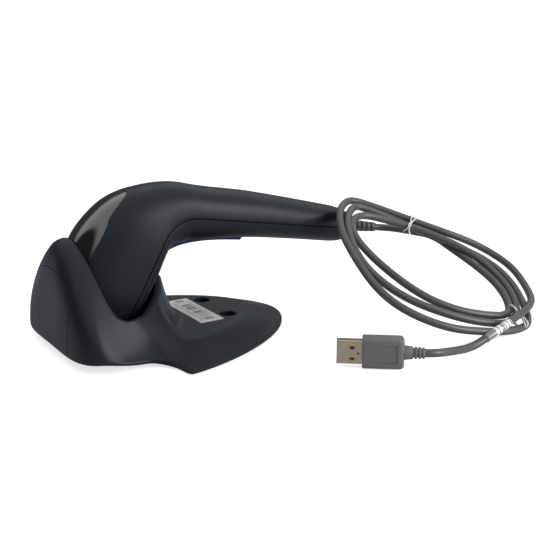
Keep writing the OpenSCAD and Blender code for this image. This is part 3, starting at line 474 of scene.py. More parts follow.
class Shape:
    """A mesh under construction, in millimetres."""

    def __init__(self) -> None:
        """Starts empty."""
        self.bm = bmesh.new()

    def sheet(self, rows: int, columns: int, place: Callable[[int, int], Vector]) -> "Shape":
        """Adds a grid and sets each crossing where place says.

        Args:
            rows: Steps along the sheet.
            columns: Steps across it.
            place: Gives the point at a row and a column.

        Returns:
            This shape.
        """
        made = bmesh.ops.create_grid(self.bm, x_segments=columns, y_segments=rows, size=1.0)["verts"]
        for vert in made:
            vert.co = place(round((vert.co.y + 1) / 2 * rows), round((vert.co.x + 1) / 2 * columns))
        return self

    def tidy(self, reach: float = 0.001) -> "Shape":
        """Merges doubles, drops slivers and turns the faces outwards."""
        bmesh.ops.remove_doubles(self.bm, verts=self.bm.verts, dist=reach)
        bmesh.ops.dissolve_degenerate(self.bm, edges=self.bm.edges, dist=reach)
        bmesh.ops.recalc_face_normals(self.bm, faces=self.bm.faces)
        return self

    def close(self) -> "Shape":
        """Fills the open ends."""
        rim = [edge for edge in self.bm.edges if edge.is_boundary]
        bmesh.ops.holes_fill(self.bm, edges=rim, sides=0)
        bmesh.ops.recalc_face_normals(self.bm, faces=self.bm.faces)
        return self

    def turned(self, profile: Sequence[Pair], steps: int = 48) -> "Shape":
        """Spins a profile of (radius, height) about Z."""
        verts = [self.bm.verts.new((r, 0, z)) for r, z in profile]
        edges = [self.bm.edges.new(pair) for pair in zip(verts, verts[1:])]
        bmesh.ops.spin(self.bm, geom=verts + edges, cent=(0, 0, 0), axis=(0, 0, 1),
                       angle=2 * math.pi, steps=steps, use_merge=True)
        return self.tidy()

    def prism(self, outline: Sequence[Pair], width: float) -> "Shape":
        """Extrudes an outline in X and Z across Y.

        Args:
            outline: Corner points.
            width: Width across Y, centred.

        Returns:
            This shape.
        """
        face = self.bm.faces.new([self.bm.verts.new((x, -width / 2, z)) for x, z in outline])
        grown = bmesh.ops.extrude_face_region(self.bm, geom=[face])["geom"]
        bmesh.ops.translate(self.bm, vec=(0, width, 0),
                            verts=[v for v in grown if isinstance(v, bmesh.types.BMVert)])
        bmesh.ops.recalc_face_normals(self.bm, faces=self.bm.faces)
        return self

    def block(self, low: Triple, high: Triple) -> "Shape":
        """Adds a box between two corners."""
        size = Vector(high) - Vector(low)
        matrix = Matrix.Translation((Vector(low) + Vector(high)) / 2) @ Matrix.Diagonal((*size, 1.0))
        bmesh.ops.create_cube(self.bm, size=1.0, matrix=matrix)
        return self

    def peg(self, radius: float, low: float, high: float, steps: int = 48) -> "Shape":
        """Adds an upright round peg at the origin."""
        bmesh.ops.create_cone(self.bm, cap_ends=True, segments=steps, radius1=radius, radius2=radius,
                              depth=high - low, matrix=Matrix.Translation((0, 0, (low + high) / 2)))
        return self

    def tube(self, path: Sequence[Vector], radius: float, up: Vector, sides: int = 12,
             closed: bool = False, flat: float = 1.0) -> "Shape":
        """Sweeps a round or flattened section along a path.

        Args:
            path: Points of the centreline.
            radius: Half the thickness along up.
            up: Direction that the section keeps.
            sides: Corners of the section.
            closed: Whether the path closes on itself.
            flat: Width of the section as a share of its thickness.

        Returns:
            This shape.
        """
        count = len(path)
        last = count if closed else count - 1

        def place(row: int, column: int) -> Vector:
            """Point of the tube's skin."""
            here = path[row % count]
            ahead = path[(row + 1) % count] if closed else path[min(row + 1, last)]
            behind = path[(row - 1) % count] if closed else path[max(row - 1, 0)]
            side = (ahead - behind).cross(up).normalized()
            rise = side.cross(ahead - behind).normalized()
            a = 2 * math.pi * column / sides
            return here + radius * (flat * math.cos(a) * side + math.sin(a) * rise)

        self.sheet(last, sides, place).tidy()
        return self if closed else self.close()

    def sharp(self, degrees: float = 40.0) -> list[bmesh.types.BMEdge]:
        """Edges whose faces turn by more than an angle."""
        limit = math.radians(degrees)
        return [e for e in self.bm.edges if len(e.link_faces) == 2 and e.calc_face_angle(0) > limit]

    def edges_along(self, axis: int, reach: float) -> list[bmesh.types.BMEdge]:
        """Edges that run along an axis for more than a reach."""
        return [e for e in self.bm.edges if abs(e.verts[0].co[axis] - e.verts[1].co[axis]) > reach]

    def soften(self, edges: Sequence[bmesh.types.BMEdge], radius: float, segments: int = 2) -> "Shape":
        """Rounds edges.

        Args:
            edges: The edges.
            radius: Distance that the rounding takes.
            segments: Steps of the rounding.

        Returns:
            This shape.
        """
        bmesh.ops.bevel(self.bm, geom=list(edges), offset=radius, offset_type="OFFSET", segments=segments,
                        profile=0.5, affect="EDGES", material=-1, clamp_overlap=True)
        return self

    def thicken(self, depth: float) -> "Shape":
        """Gives an open skin a wall on its inner side."""
        bmesh.ops.solidify(self.bm, geom=list(self.bm.faces), thickness=depth)
        return self

    def move(self, matrix: Matrix) -> "Shape":
        """Places the whole shape."""
        bmesh.ops.transform(self.bm, matrix=matrix, verts=self.bm.verts)
        return self

    def park(self) -> bpy.types.Object:
        """Turns the shape into a scratch object."""
        mesh = bpy.data.meshes.new("scratch")
        self.bm.to_mesh(mesh)
        self.bm.free()
        held = bpy.data.objects.new("scratch", mesh)
        bpy.context.scene.collection.objects.link(held)
        return held

    def carve(self, tool: "Shape", way: Carve = Carve.CUT) -> "Shape":
        """Cuts with another shape, or joins it on.

        Args:
            tool: The other shape, which is used up.
            way: Cut or join.

        Returns:
            This shape.
        """
        body, cutter = self.park(), tool.park()
        modifier = body.modifiers.new("carve", "BOOLEAN")
        modifier.operation, modifier.solver, modifier.object = way.value, "EXACT", cutter
        shown = body.evaluated_get(bpy.context.evaluated_depsgraph_get())
        self.bm = bmesh.new()
        self.bm.from_mesh(shown.to_mesh())
        for scratch in (body, cutter):
            mesh = scratch.data
            bpy.data.objects.remove(scratch)
            bpy.data.meshes.remove(mesh)
        return self

    def add(self, other: "Shape") -> "Shape":
        """Takes in another shape as it is."""
        mesh = bpy.data.meshes.new("scratch")
        other.bm.to_mesh(mesh)
        other.bm.free()
        self.bm.from_mesh(mesh)
        bpy.data.meshes.remove(mesh)
        return self

    def finish(self, name: str, finish: Finish, body: Body, *nodes: str,
               crease: float = 38.0) -> bpy.types.Object:
        """Makes the finished object.

        Args:
            name: Name of the piece.
            finish: Its finish.
            body: Body that it rides on.
            *nodes: CAD nodes that it stands for.
            crease: Angle past which an edge stays sharp, in degrees.

        Returns:
            The object, at the origin.
        """
        bmesh.ops.scale(self.bm, vec=(MM, MM, MM), verts=self.bm.verts)
        mesh = bpy.data.meshes.new(name)
        self.bm.to_mesh(mesh)
        self.bm.free()
        mesh.shade_smooth()
        mesh.set_sharp_from_angle(angle=math.radians(crease))
        piece = bpy.data.objects.new(name, mesh)
        bpy.context.scene.collection.objects.link(piece)
        return dress(piece, finish, body, *nodes)


def dress(piece: bpy.types.Object, finish: Finish, body: Body, *nodes: str) -> bpy.types.Object:
    """Gives a new piece its finish, its body and its place among the nodes.

    Args:
        piece: The piece.
        finish: Its finish.
        body: Body that it rides on.
        *nodes: CAD nodes that it stands for.

    Returns:
        The piece.
    """
    piece.data.materials.clear()
    piece.data.materials.append(finish.material())
    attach(piece, body.value)
    if nodes:
        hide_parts(*nodes)
    LOG.info("%s: %s on %s", piece.name, finish.name, body.value)
    return piece


@dataclass
class BodyForm:
    """The scanner's axis and the sections along it."""
    head_angle: float = 60.0
    handle_drop: float = 10.2
    corner: Pair = (-32.0, 66.8)
    bend_r: float = 21.0
    head_l: float = 62.0
    handle_l: float = 122.5
    head_w: float = 41.0
    nose_w: float = 37.0
    grip_w: float = 32.5
    butt_w: float = 27.0
    head_up: float = 37.9
    nose_up: float = 25.0
    head_down: float = 10.2
    brow_drop: float = 2.2
    neck_drop: float = 3.7
    bend_up: float = 21.1
    bend_down: float = 14.6
    collar_up: float = 15.9
    collar_down: float = 14.4
    collar_w: float = 34.9
    collar_l: float = 40.0
    grip_up: float = 14.9
    grip_down: float = 10.5
    butt_half: float = 10.0
    butt_round: float = 13.0
    butt_flat: float = 0.6
    crown_stretch: float = 1.3
    crown_power: float = 2 / 2.6
    chin_power: float = 2 / 2.1

    def __post_init__(self) -> None:
        """Works out the axis and the stations."""
        turn = math.radians(self.head_angle + self.handle_drop)
        a, d = math.radians(self.head_angle), math.radians(self.handle_drop)
        self.tangent_l = self.bend_r * math.tan(turn / 2)
        self.head_run = self.head_l - self.tangent_l
        self.bend_run = self.bend_r * turn
        self.bend_end = self.head_run + self.bend_run
        self.axis_l = self.bend_end + self.handle_l - self.tangent_l
        self.head_dir = Vector((math.cos(a), math.sin(a)))
        self.handle_dir = Vector((math.cos(d), -math.sin(d)))
        self.bend_centre = (Vector(self.corner) - self.tangent_l * self.head_dir
                            + self.bend_r * Vector((math.sin(a), -math.cos(a))))
        run, brow = self.head_run, self.head_w - 0.6
        self.stations = Rows((
            (0, self.nose_up, 9.0, self.nose_w / 2),
            (run / 3, self.head_up - self.brow_drop, 10.0, brow / 2),
            (run * 2 / 3, self.head_up, self.head_down, self.head_w / 2),
            (run, self.head_up - self.neck_drop, 9.6, brow / 2),
            (run + self.bend_run / 2, self.bend_up, self.bend_down, (self.head_w + self.grip_w) / 4),
            (self.bend_end, self.collar_up, self.collar_down, self.collar_w / 2),
            (self.bend_end + self.collar_l, self.grip_up, self.grip_down, self.grip_w / 2),
            (self.axis_l, self.butt_half, self.butt_half, self.butt_w / 2)))
        self.crown = Rows(tuple((self.stretch(row[0]), row[1]) for row in self.stations.rows))

    def stretch(self, s: float) -> float:
        """Position along the crown, which is longer than the axis round the bend."""
        return s + self.crown_stretch * min(self.bend_run, max(0.0, s - self.head_run))

    def angle(self, s: float) -> float:
        """Slope of the axis at s, in radians."""
        share = min(1.0, max(0.0, (s - self.head_run) / self.bend_run))
        return math.radians(self.head_angle - (self.head_angle + self.handle_drop) * share)

    def axis(self, s: float) -> Vector:
        """Point of the axis at s, in X and Z."""
        if s < self.head_run:
            return Vector(self.corner) - (self.head_l - s) * self.head_dir
        if s < self.bend_end:
            a = self.angle(s)
            return self.bend_centre + self.bend_r * Vector((-math.sin(a), math.cos(a)))
        return Vector(self.corner) + (self.tangent_l + s - self.bend_end) * self.handle_dir

    def at(self, s: float, side: float, out: float) -> Vector:
        """Point beside the axis.

        Args:
            s: Position along the axis.
            side: Distance across.
            out: Distance out of the crown.

        Returns:
            The point.
        """
        p, a = self.axis(s), self.angle(s)
        return Vector((p[0] - out * math.sin(a), side, p[1] + out * math.cos(a)))

    def shrink(self, s: float) -> float:
        """Share of the section left by the rounded butt."""
        q = max(0.0, (s - self.axis_l + self.butt_round) / self.butt_round)
        return self.butt_flat + (1 - self.butt_flat) * math.sqrt(max(0.0, 1 - q * q))

    def depth(self, s: float, way: int) -> float:
        """Depth of the section above (1) or below (-1) the axis."""
        if way > 0:
            return self.crown.at(1, self.stretch(s)) * self.shrink(s)
        return self.stations.at(2, s) * self.shrink(s)

    def outline(self, s: float, theta: float, way: int, inset: float = 0.0) -> Pair:
        """Point of the section at s.

        Args:
            s: Position along the axis.
            theta: Angle round the half section, in degrees.
            way: 1 above the parting line, -1 below.
            inset: Distance in from the skin.

        Returns:
            Distance across and distance out of the crown.
        """
        p = self.crown_power if way > 0 else self.chin_power
        a = math.radians(theta)
        w = self.stations.at(3, s) * self.shrink(s) - inset
        d = self.depth(s, way) - inset
        return w * power(math.cos(a), p), way * d * power(max(0.0, math.sin(a)), p)

    def skin(self, s: float, theta: float, way: int, inset: float = 0.0) -> Vector:
        """Point of the body's skin, with the section's own Args."""
        return self.at(s, *self.outline(s, theta, way, inset))

    def handle_s(self, t: float) -> float:
        """Position along the axis of a place along the handle."""
        return self.bend_end + t - self.tangent_l

    def handle(self, t: float, side: float, out: float) -> Vector:
        """Point in the handle's frame: along, across and out of its crown."""
        h, (x, z) = self.handle_dir, self.corner
        return Vector((x + t * h[0] - out * h[1], side, z + t * h[1] + out * h[0]))

    def handle_frame(self, t: float) -> Matrix:
        """Frame at t whose Z runs out of the handle's crown and whose X runs to the butt."""
        p = self.handle(t, 0, 0)
        return Matrix.Translation(p) @ Matrix.Rotation(math.radians(self.handle_drop), 4, "Y")

    def under(self, s: float, out: float) -> Pair:
        """Point below the body in the handle's own along and out."""
        p = self.at(s, 0, -self.depth(s, -1) - out)
        d = Vector((p[0] - self.corner[0], p[2] - self.corner[1]))
        return d.dot(self.handle_dir), d.dot(Vector((-self.handle_dir[1], self.handle_dir[0])))


@dataclass
class Housings:
    """The two housing halves and the gloss panel."""
    form: BodyForm
    wall: float = 2.2
    panel_t: float = 1.1
    panel_gap: float = 0.3
    panel_bed: float = 1.25
    panel_from: float = 6.0
    panel_straight: float = 30.0
    panel_to: float = 54.5
    panel_power: float = 2.4
    panel_angle: float = 41.0
    tip_angle: float = 3.0
    cable_hole: float = 3.95
    seam_back: float = 4.4
    seam_w: float = 0.7
    seam_deep: float = 0.45
    seam_ramp: float = 0.15
    panel_round: float = 0.25
    panel_columns: int = 28
    lip: float = 0.35
    part_gap: float = 0.16
    end_wall: float = 2.5
    screw_at: Pair = (61.5, 84.0)
    recess_r: float = 2.6
    boss_r: float = 3.5
    seat: float = -5.0

    def panel_half(self, s: float) -> float:
        """Half-angle of the panel at s, in degrees."""
        q = (s - self.panel_straight) / (self.panel_to - self.panel_straight)
        q = min(1.0, max(0.0, q))
        return max(self.tip_angle, self.panel_angle * (1 - q ** self.panel_power) ** (1 / self.panel_power))

    def panel_stops(self) -> list[float]:
        """Places along the panel, closer at its round end."""
        ahead = span(self.panel_from, self.panel_straight, 22)
        return ahead + [mix(self.panel_straight, self.panel_to, math.sin(math.radians(a)))
                        for a in range(5, 91, 5)]

    def stops(self, way: int) -> list[Row]:
        """Rows along a housing half.

        Args:
            way: 1 for the upper half, -1 for the lower.

        Returns:
            Rows of position, whether the panel's bed is cut there, and depth in from the skin.
        """
        f = self.form
        seam, hole = f.axis_l - self.seam_back, f.axis_l - self.end_wall
        first, last = self.panel_from - self.panel_gap, self.panel_to + self.panel_gap
        lead_in = 0.3 * self.lip
        rows: list[Row] = [(0, False, self.lip), (lead_in, False, lead_in)]
        butt, after = f.axis_l - f.butt_round, seam + self.seam_w + self.seam_ramp

        def plain(*stops: float) -> list[Row]:
            """Rows that follow the skin."""
            return [(s, False, 0.0) for s in stops]

        rows += plain(*span(self.lip, first, 4))
        if way > 0:
            rows += [(s, True, 0.0) for s in [first] + self.panel_stops()[1:-1] + [last]]
        else:
            rows += plain(*span(first, last, 36)[1:-1])
        rows += plain(*span(last, f.bend_end, 16), *span(f.bend_end, butt, 40)[1:],
                      *span(butt, seam - self.seam_ramp, 6)[1:])
        rows += [(seam, False, self.seam_deep), (seam + self.seam_w, False, self.seam_deep)]
        rows += plain(*span(after, hole - 0.01, 2), hole,
                      *(mix(hole, f.axis_l, math.sin(math.radians(a))) for a in range(15, 91, 15)))
        return rows

    def angles(self, s: float, way: int) -> list[tuple[float, bool]]:
        """Angles round a half section, with the panel's bed marked.

        Args:
            s: Position along the axis.
            way: 1 for the upper half, -1 for the lower.

        Returns:
            Angle in degrees and whether it is in the bed.
        """
        start = math.degrees(math.asin(((self.part_gap + self.lip) / self.form.depth(s, way)) ** 1.2))
        if way < 0:
            return [(a, False) for a in span(start, 180 - start, 56)]
        gap = math.degrees(self.panel_gap / max(8.0, self.form.depth(s, 1)))
        half = self.panel_half(s) + gap
        half = mix(half, self.panel_angle, ease((s - self.panel_to - 1) / 14))
        side = [(a, False) for a in span(start, 90 - half, 14)]
        bed = [(a, True) for a in span(90 - half, 90 + half, self.panel_columns)]
        return side + bed + [(180 - a, False) for a, _ in reversed(side)]

    def ring(self, row: Row, way: int) -> list[Vector]:
        """Closed ring of a half: out along the skin and back along the lining.

        Args:
            row: Position, whether the bed is cut, and depth in from the skin.
            way: 1 for the upper half, -1 for the lower.

        Returns:
            The ring's points.
        """
        f = self.form
        s, bed, deep = row
        edge = f.outline(s, 0, way, deep)[0]
        lips = [(edge - self.lip, self.part_gap), (edge - 0.3 * self.lip, self.part_gap + 0.3 * self.lip)]
        skin = [f.outline(s, a, way, self.panel_bed if bed and inside else deep)
                for a, inside in self.angles(s, way)]
        outer = [(x, way * z) for x, z in lips] + skin + [(-x, way * z) for x, z in reversed(lips)]
        lining = []
        for a in span(180, 0, 28):
            x, z = f.outline(s, a, way, self.wall)
            if s > f.axis_l - self.end_wall - 0.005:
                x, z = (self.cable_hole * math.cos(math.radians(a)),
                        way * self.cable_hole * math.sin(math.radians(a)))
            lining.append((x, way * max(self.part_gap, way * z)))
        return [f.at(s, x, z) for x, z in outer + lining]

    def half(self, way: int) -> Shape:
        """Models one half as a closed wall.

        Args:
            way: 1 for the upper half, -1 for the lower.

        Returns:
            The half's shell.
        """
        rings = [self.ring(row, way) for row in self.stops(way)]
        count = len(rings[0])
        shell = Shape().sheet(len(rings) - 1, count, lambda row, column: rings[row][column % count])
        return shell.tidy(0.0005).close()

    def upper(self) -> bpy.types.Object:
        """Makes the upper housing."""
        return self.half(1).finish("upper_shell", CHARCOAL, Body.SCANNER, "upper_housing", crease=32)

    def lower(self, slot: Shape) -> bpy.types.Object:
        """Makes the lower housing with its screw wells.

        Args:
            slot: Shape of the trigger's slot.

        Returns:
            The lower housing.
        """
        f = self.form
        shell = self.half(-1).carve(slot)
        for t in self.screw_at:
            low = f.depth(f.handle_s(t), -1)
            shell.carve(Shape().peg(self.boss_r, 0.6 - low, 0.0).move(f.handle_frame(t)), Carve.JOIN)
            shell.carve(Shape().peg(self.recess_r, -3 * low, self.seat).move(f.handle_frame(t)))
        return shell.finish("lower_shell", CHARCOAL, Body.SCANNER, "lower_housing", crease=32)

    def panel(self) -> bpy.types.Object:
        """Makes the gloss panel on its bed."""
        stops, columns = self.panel_stops(), self.panel_columns

        def place(row: int, column: int) -> Vector:
            """Point of the panel's face."""
            half = self.panel_half(stops[row])
            return self.form.skin(stops[row], 90 - half + 2 * half * column / columns, 1)

        face = Shape().sheet(len(stops) - 1, columns, place).tidy()
        crest = max(face.bm.faces, key=lambda f: f.calc_center_median().z)
        if crest.normal.z < 0:
            bmesh.ops.reverse_faces(face.bm, faces=face.bm.faces)
        face.thicken(self.panel_t)
        bmesh.ops.recalc_face_normals(face.bm, faces=face.bm.faces)
        face.soften(face.sharp(55), self.panel_round, 3)
        return face.finish("gloss_panel", GLOSS, Body.SCANNER, "head_panel", crease=50)


@dataclass
class TriggerPad:
    """The finger trigger under the bend."""
    form: BodyForm
    width: float = 12.0
    tip_proud: float = 1.6
    back_proud: float = 1.0
    pad_turn: Pair = (13.0, -12.5)
    pivot: Pair = (45.5, -6.2)
    pivot_r: float = 2.2
    end: float = 49.5
    floor: float = -8.0
    deep: float = 5.5
    slot_top: float = -7.0
    gap: float = 0.5
    round_r: float = 0.9

    @property
    def start(self) -> float:
        """Place along the axis of the trigger's tip."""
        return self.form.head_run - 3.5

    def slot(self) -> Shape:
        """Shape of the opening that the trigger swings in."""
        f = self.form
        lip = f.under(self.start - self.gap, self.deep)
        heel = f.under(self.start - self.gap, -self.deep - self.gap)
        far = self.end + self.gap
        outline = [heel, lip, (far, lip[1]), (far, self.slot_top), (heel[0], self.slot_top)]
        return Shape().prism(outline, self.width + 2 * self.gap).move(f.handle_frame(0))

    def pad(self, u: float) -> Pair:
        """Point of the finger pad's curve, u from its tip to its back."""
        tip = self.form.under(self.start, self.tip_proud)
        back = self.form.under(self.form.handle_s(self.end - 1), self.back_proud)
        return tuple((1 - u) ** 2 * a + 2 * u * (1 - u) * b + u * u * c
                     for a, b, c in zip(tip, self.pad_turn, back))

    def build(self) -> bpy.types.Object:
        """Makes the trigger with rounded edges."""
        f = self.form
        t, n = self.pivot
        r = self.pivot_r
        outline = [f.under(self.start, -self.deep), *(self.pad(u) for u in span(0, 1, 36)),
                   f.under(f.handle_s(self.end), 0), (self.end, n), (t + r, n + r), (t - r, n + r),
                   (t - 3 * r, self.floor), (f.tangent_l, self.floor)]
        lever = Shape().prism(outline, self.width)
        lever.soften(lever.sharp(40), self.round_r, 3)
        lever.move(f.handle_frame(0))
        return lever.finish("finger_trigger", BLUE, Body.TRIGGER, "trigger", crease=50)


@dataclass
class CableSet:
    """The boot, the tied cable, its ties and label, and the USB plug."""
    form: BodyForm
    cord_d: float = 4.2
    boot_l: float = 24.0
    boot_d: float = 7.6
    boot_in: float = 11.0
    rib_count: int = 6
    rib_gap: float = 1.3
    rib_deep: float = 0.9
    loop_at: Triple = (101.5, -66.5, 30.6)
    loop_turns: Triple = (17.0, 23.0, -38.0)
    plug_at: Triple = (26.5, -100.5, 8.0)
    plug_yaw: float = -38.0
    grip_l: float = 20.5
    relief_l: float = 10.0
    relief_r: float = 3.3
    relief_slots: tuple[float, ...] = (4.2, 6.1, 8.0)
    relief_gap: float = 0.85
    relief_taper: float = 0.04
    pocket: Pair = (3.6, 17.2)
    pocket_half: float = 4.6
    pocket_deep: float = 0.4
    plug_t: float = 8.4
    plug_w: float = 16.0
    usb_l: float = 12.5
    usb_t: float = 4.5
    usb_w: float = 12.0
    usb_wall: float = 0.35
    usb_seat: float = 4.0
    usb_round: float = 0.7
    latch_z: float = 2.9
    latch_x: float = -4.9
    latch_half: float = 1.15
    thread_r: float = 0.42
    tie_half: float = 3.1
    tie_slack: float = 0.45
    tie_square: float = 0.55
    tie_steps: int = 64
    first_tie: tuple[Pair, Pair] = ((-16.8, 44.6), (-18.0, 32.0))
    second_tie: tuple[Pair, Pair] = ((55.2, -18.0), (46.2, -5.5))
    lead: tuple[Triple, ...] = ((121, -6, 40.2), (124, -15, 40.3), (126, -25, 40.4), (128, -36, 40.8))
    turns: tuple[Triple, ...] = (
        (9, 37, -2.6), (21.5, 29.5, -1.6), (34.3, 19.5, -0.4), (43.8, 7.2, 0), (47.6, -7.2, -0.5),
        (44, -13, -0.5), (40.8, -17.4, 0), (30, -24, 0), (17.7, -29.4, 0), (5, -31, 0), (-5.5, -29.8, 0),
        (-18, -25, 0), (-30, -17.8, 0), (-38.5, -11, 0), (-44.8, -4.5, 0), (-49.5, 4, 0), (-50.9, 12.6, 0),
        (-49.5, 20.5, 0), (-44.8, 26.5, 0), (-36, 30, 0), (-23.5, 33, 0.4), (-17.5, 35.2, 0.6),
        (5, 34.2, 2.4), (21.8, 33.7, 1.6), (36, 26, 0.4), (46, 15.5, 0), (50, 4, 0), (51.5, -5, -1),
        (50.3, -10.6, -1.5), (46.5, -18, -1.5), (40.8, -24.2, -0.8), (23.6, -34.6, 0), (1, -39.6, 0),
        (-18.9, -38.9, 0), (-37.4, -27.9, 0), (-48.2, -9.5, 0), (-54.5, 12, 0), (-53.6, 26, 0),
        (-51.4, 32.4, 0), (-45.7, 34.3, 0), (-27.1, 38.1, -1.4), (-17, 39, -1.4),
        (2, 38, -1.4), (22, 38.8, -0.6), (38, 33, 0), (48, 23, 0), (54, 9.6, 0), (57.5, -3, -0.4),
        (58.5, -12, -0.8), (52.6, -21, -0.8), (42, -31.9, 0), (30.1, -39.8, 0), (13, -49.7, 0),
        (-6.4, -51.6, 0), (-20.7, -48, 0), (-33.2, -37.9, 0), (-46.2, -19, 0), (-55.2, -2.8, 0),
        (-59.7, 16, 0), (-58.9, 28.1, 0), (-55.7, 37.3, 0), (-46.2, 39.5, 0), (-34, 41, 0.4),
        (-16.5, 42.6, 0.6), (1.7, 42.6, 2.1), (20.8, 47.4, 1), (33.9, 47.1, 0), (47, 42.1, 0),
        (54.6, 30.8, 0), (60, 16.2, 0.5))
    wrap_span: Pair = (2.8, 4.9)
    tail: tuple[Triple, ...] = (
        (147, -98, 11.6), (136, -104.5, 11.4), (123, -109.3, 10.8), (113, -113, 9.8), (103, -114.5, 8),
        (96, -113.8, 4.6), (88, -114, 2.4), (78, -116.5, 3.5), (69, -119.5, 5.5), (61, -121.5, 7))

    def __post_init__(self) -> None:
        """Works out the frames of the loop and the plug."""
        x, y, z = (math.radians(a) for a in self.loop_turns)
        self.loop_frame = (Matrix.Translation(self.loop_at) @ Matrix.Rotation(z, 4, "Z")
                           @ Matrix.Rotation(y, 4, "Y") @ Matrix.Rotation(x, 4, "X"))
        yaw = math.radians(self.plug_yaw)
        self.plug_frame = Matrix.Translation(self.plug_at) @ Matrix.Rotation(yaw, 4, "Z")
        self.exit = self.form.handle(self.form.handle_l + self.boot_l, 0, 0)

    def route(self) -> list[Vector]:
        """Points of the cable from the boot to the plug."""
        h = self.form.handle_dir
        out = Vector((h[0], 0, h[1]))
        end = self.plug_frame @ Vector((self.grip_l + self.relief_l, 0, 0))
        along = (self.plug_frame.to_3x3() @ Vector((1, 0, 0)))
        return [self.exit, self.exit + 4 * out, *(Vector(p) for p in self.lead),
                *(self.loop_frame @ Vector(p) for p in self.turns),
                *(Vector(p) for p in self.tail), end + 4 * along, end]

    def cord(self) -> bpy.types.Object:
        """Makes the cable as one curve."""
        points = self.route()
        curve = bpy.data.curves.new("usb_cable", "CURVE")
        curve.dimensions = "3D"
        curve.bevel_depth = self.cord_d / 2 * MM
        curve.bevel_resolution = 5
        curve.resolution_u = 8
        curve.use_fill_caps = True
        spline = curve.splines.new("NURBS")
        spline.points.add(len(points) - 1)
        for point, place in zip(spline.points, points):
            point.co = (*(place * MM), 1.0)
        spline.order_u = 4
        spline.use_endpoint_u = True
        piece = bpy.data.objects.new("usb_cable", curve)
        bpy.context.scene.collection.objects.link(piece)
        return dress(piece, JACKET, Body.SCANNER, "cord_lead", "cord_loop", "cord_tail")

    def boot(self) -> bpy.types.Object:
        """Makes the ribbed boot at the butt."""
        f, r, tip = self.form, self.boot_d / 2, (self.cord_d + 1.4) / 2
        inner, pitch = f.handle_l - self.boot_in, (self.boot_l - 1) / self.rib_count
        gap, deep = self.rib_gap, self.rib_deep

        def radius(x: float) -> float:
            """Radius of the tapered boot."""
            return mix(r, tip, max(0.0, x / self.boot_l))

        ribs = [point for i in range(1, self.rib_count) for x in [i * pitch] for point in (
            (radius(x), f.handle_l + x), (radius(x) - deep, f.handle_l + x),
            (radius(x + gap) - deep, f.handle_l + x + gap), (radius(x + gap), f.handle_l + x + gap))]
        end = f.handle_l + self.boot_l
        profile = [(0, inner), (r, inner), *ribs, (tip, end), (0, end)]
        sleeve = Shape().turned(profile, 48)
        sleeve.soften(sleeve.sharp(50), 0.22, 2)
        sleeve.move(f.handle_frame(0) @ Matrix.Rotation(math.pi / 2, 4, "Y"))
        return sleeve.finish("cable_sleeve", JACKET, Body.SCANNER, "cable_boot", crease=50)

    def thread(self, outer: Pair, inner: Pair, lean: float, shift: float) -> Shape:
        """Makes one turn of tie thread round the cable's turns.

        Args:
            outer: Outer edge of the turns in the loop's plane.
            inner: Inner edge of them.
            lean: How far the front of the turn leans along the cable.
            shift: How far the whole turn sits along the cable.

        Returns:
            The thread.
        """
        o, i = Vector((*outer, 0)), Vector((*inner, 0))
        middle, half = (o + i) / 2, (o - i).length / 2 + self.tie_slack
        across = (o - i).normalized()
        along = across.cross(Vector((0, 0, 1)))
        path = []
        for k in range(self.tie_steps):
            a = 2 * math.pi * k / self.tie_steps
            u = half * power(math.cos(a), self.tie_square)
            w = self.tie_half * power(math.sin(a), self.tie_square)
            slide = shift + lean * math.sin(a) * math.cos(a)
            path.append(middle + across * u + Vector((0, 0, w)) + along * slide)
        return Shape().tube(path, self.thread_r, along, 8, True, 1.3)

    def ties(self) -> bpy.types.Object:
        """Makes the two thread ties."""
        first, second = self.first_tie, self.second_tie
        band = self.thread(*first, 3.2, 0.6).add(self.thread(*first, -2.2, -0.9))
        band.add(self.thread(*second, 1.2, 0.5)).add(self.thread(*second, -1.4, -0.6))
        band.move(self.loop_frame)
        return band.finish("thread_ties", THREAD, Body.SCANNER, "loop_ties", crease=60)

    def wrap(self) -> bpy.types.Object:
        """Makes the printed film wrap on the cable near its second tie."""
        points = self.route()
        first = len(points) - 2 - len(self.tail)
        path = [spline_point(points, first + u) for u in span(*self.wrap_span, 16)]
        way = (path[0] - path[-1]).normalized()
        film = PrintedFilm("printed_film", "label", linear(112, 113, 111), 0.22,
                           tuple(way), path[-1].dot(way))
        sleeve = Shape().tube(path, self.cord_d / 2 + 0.25, Vector((0, 0, 1)), 40)
        sleeve.soften(sleeve.sharp(50), 0.08, 1)
        return sleeve.finish("cable_wrap", film, Body.SCANNER, "cord_label", crease=50)

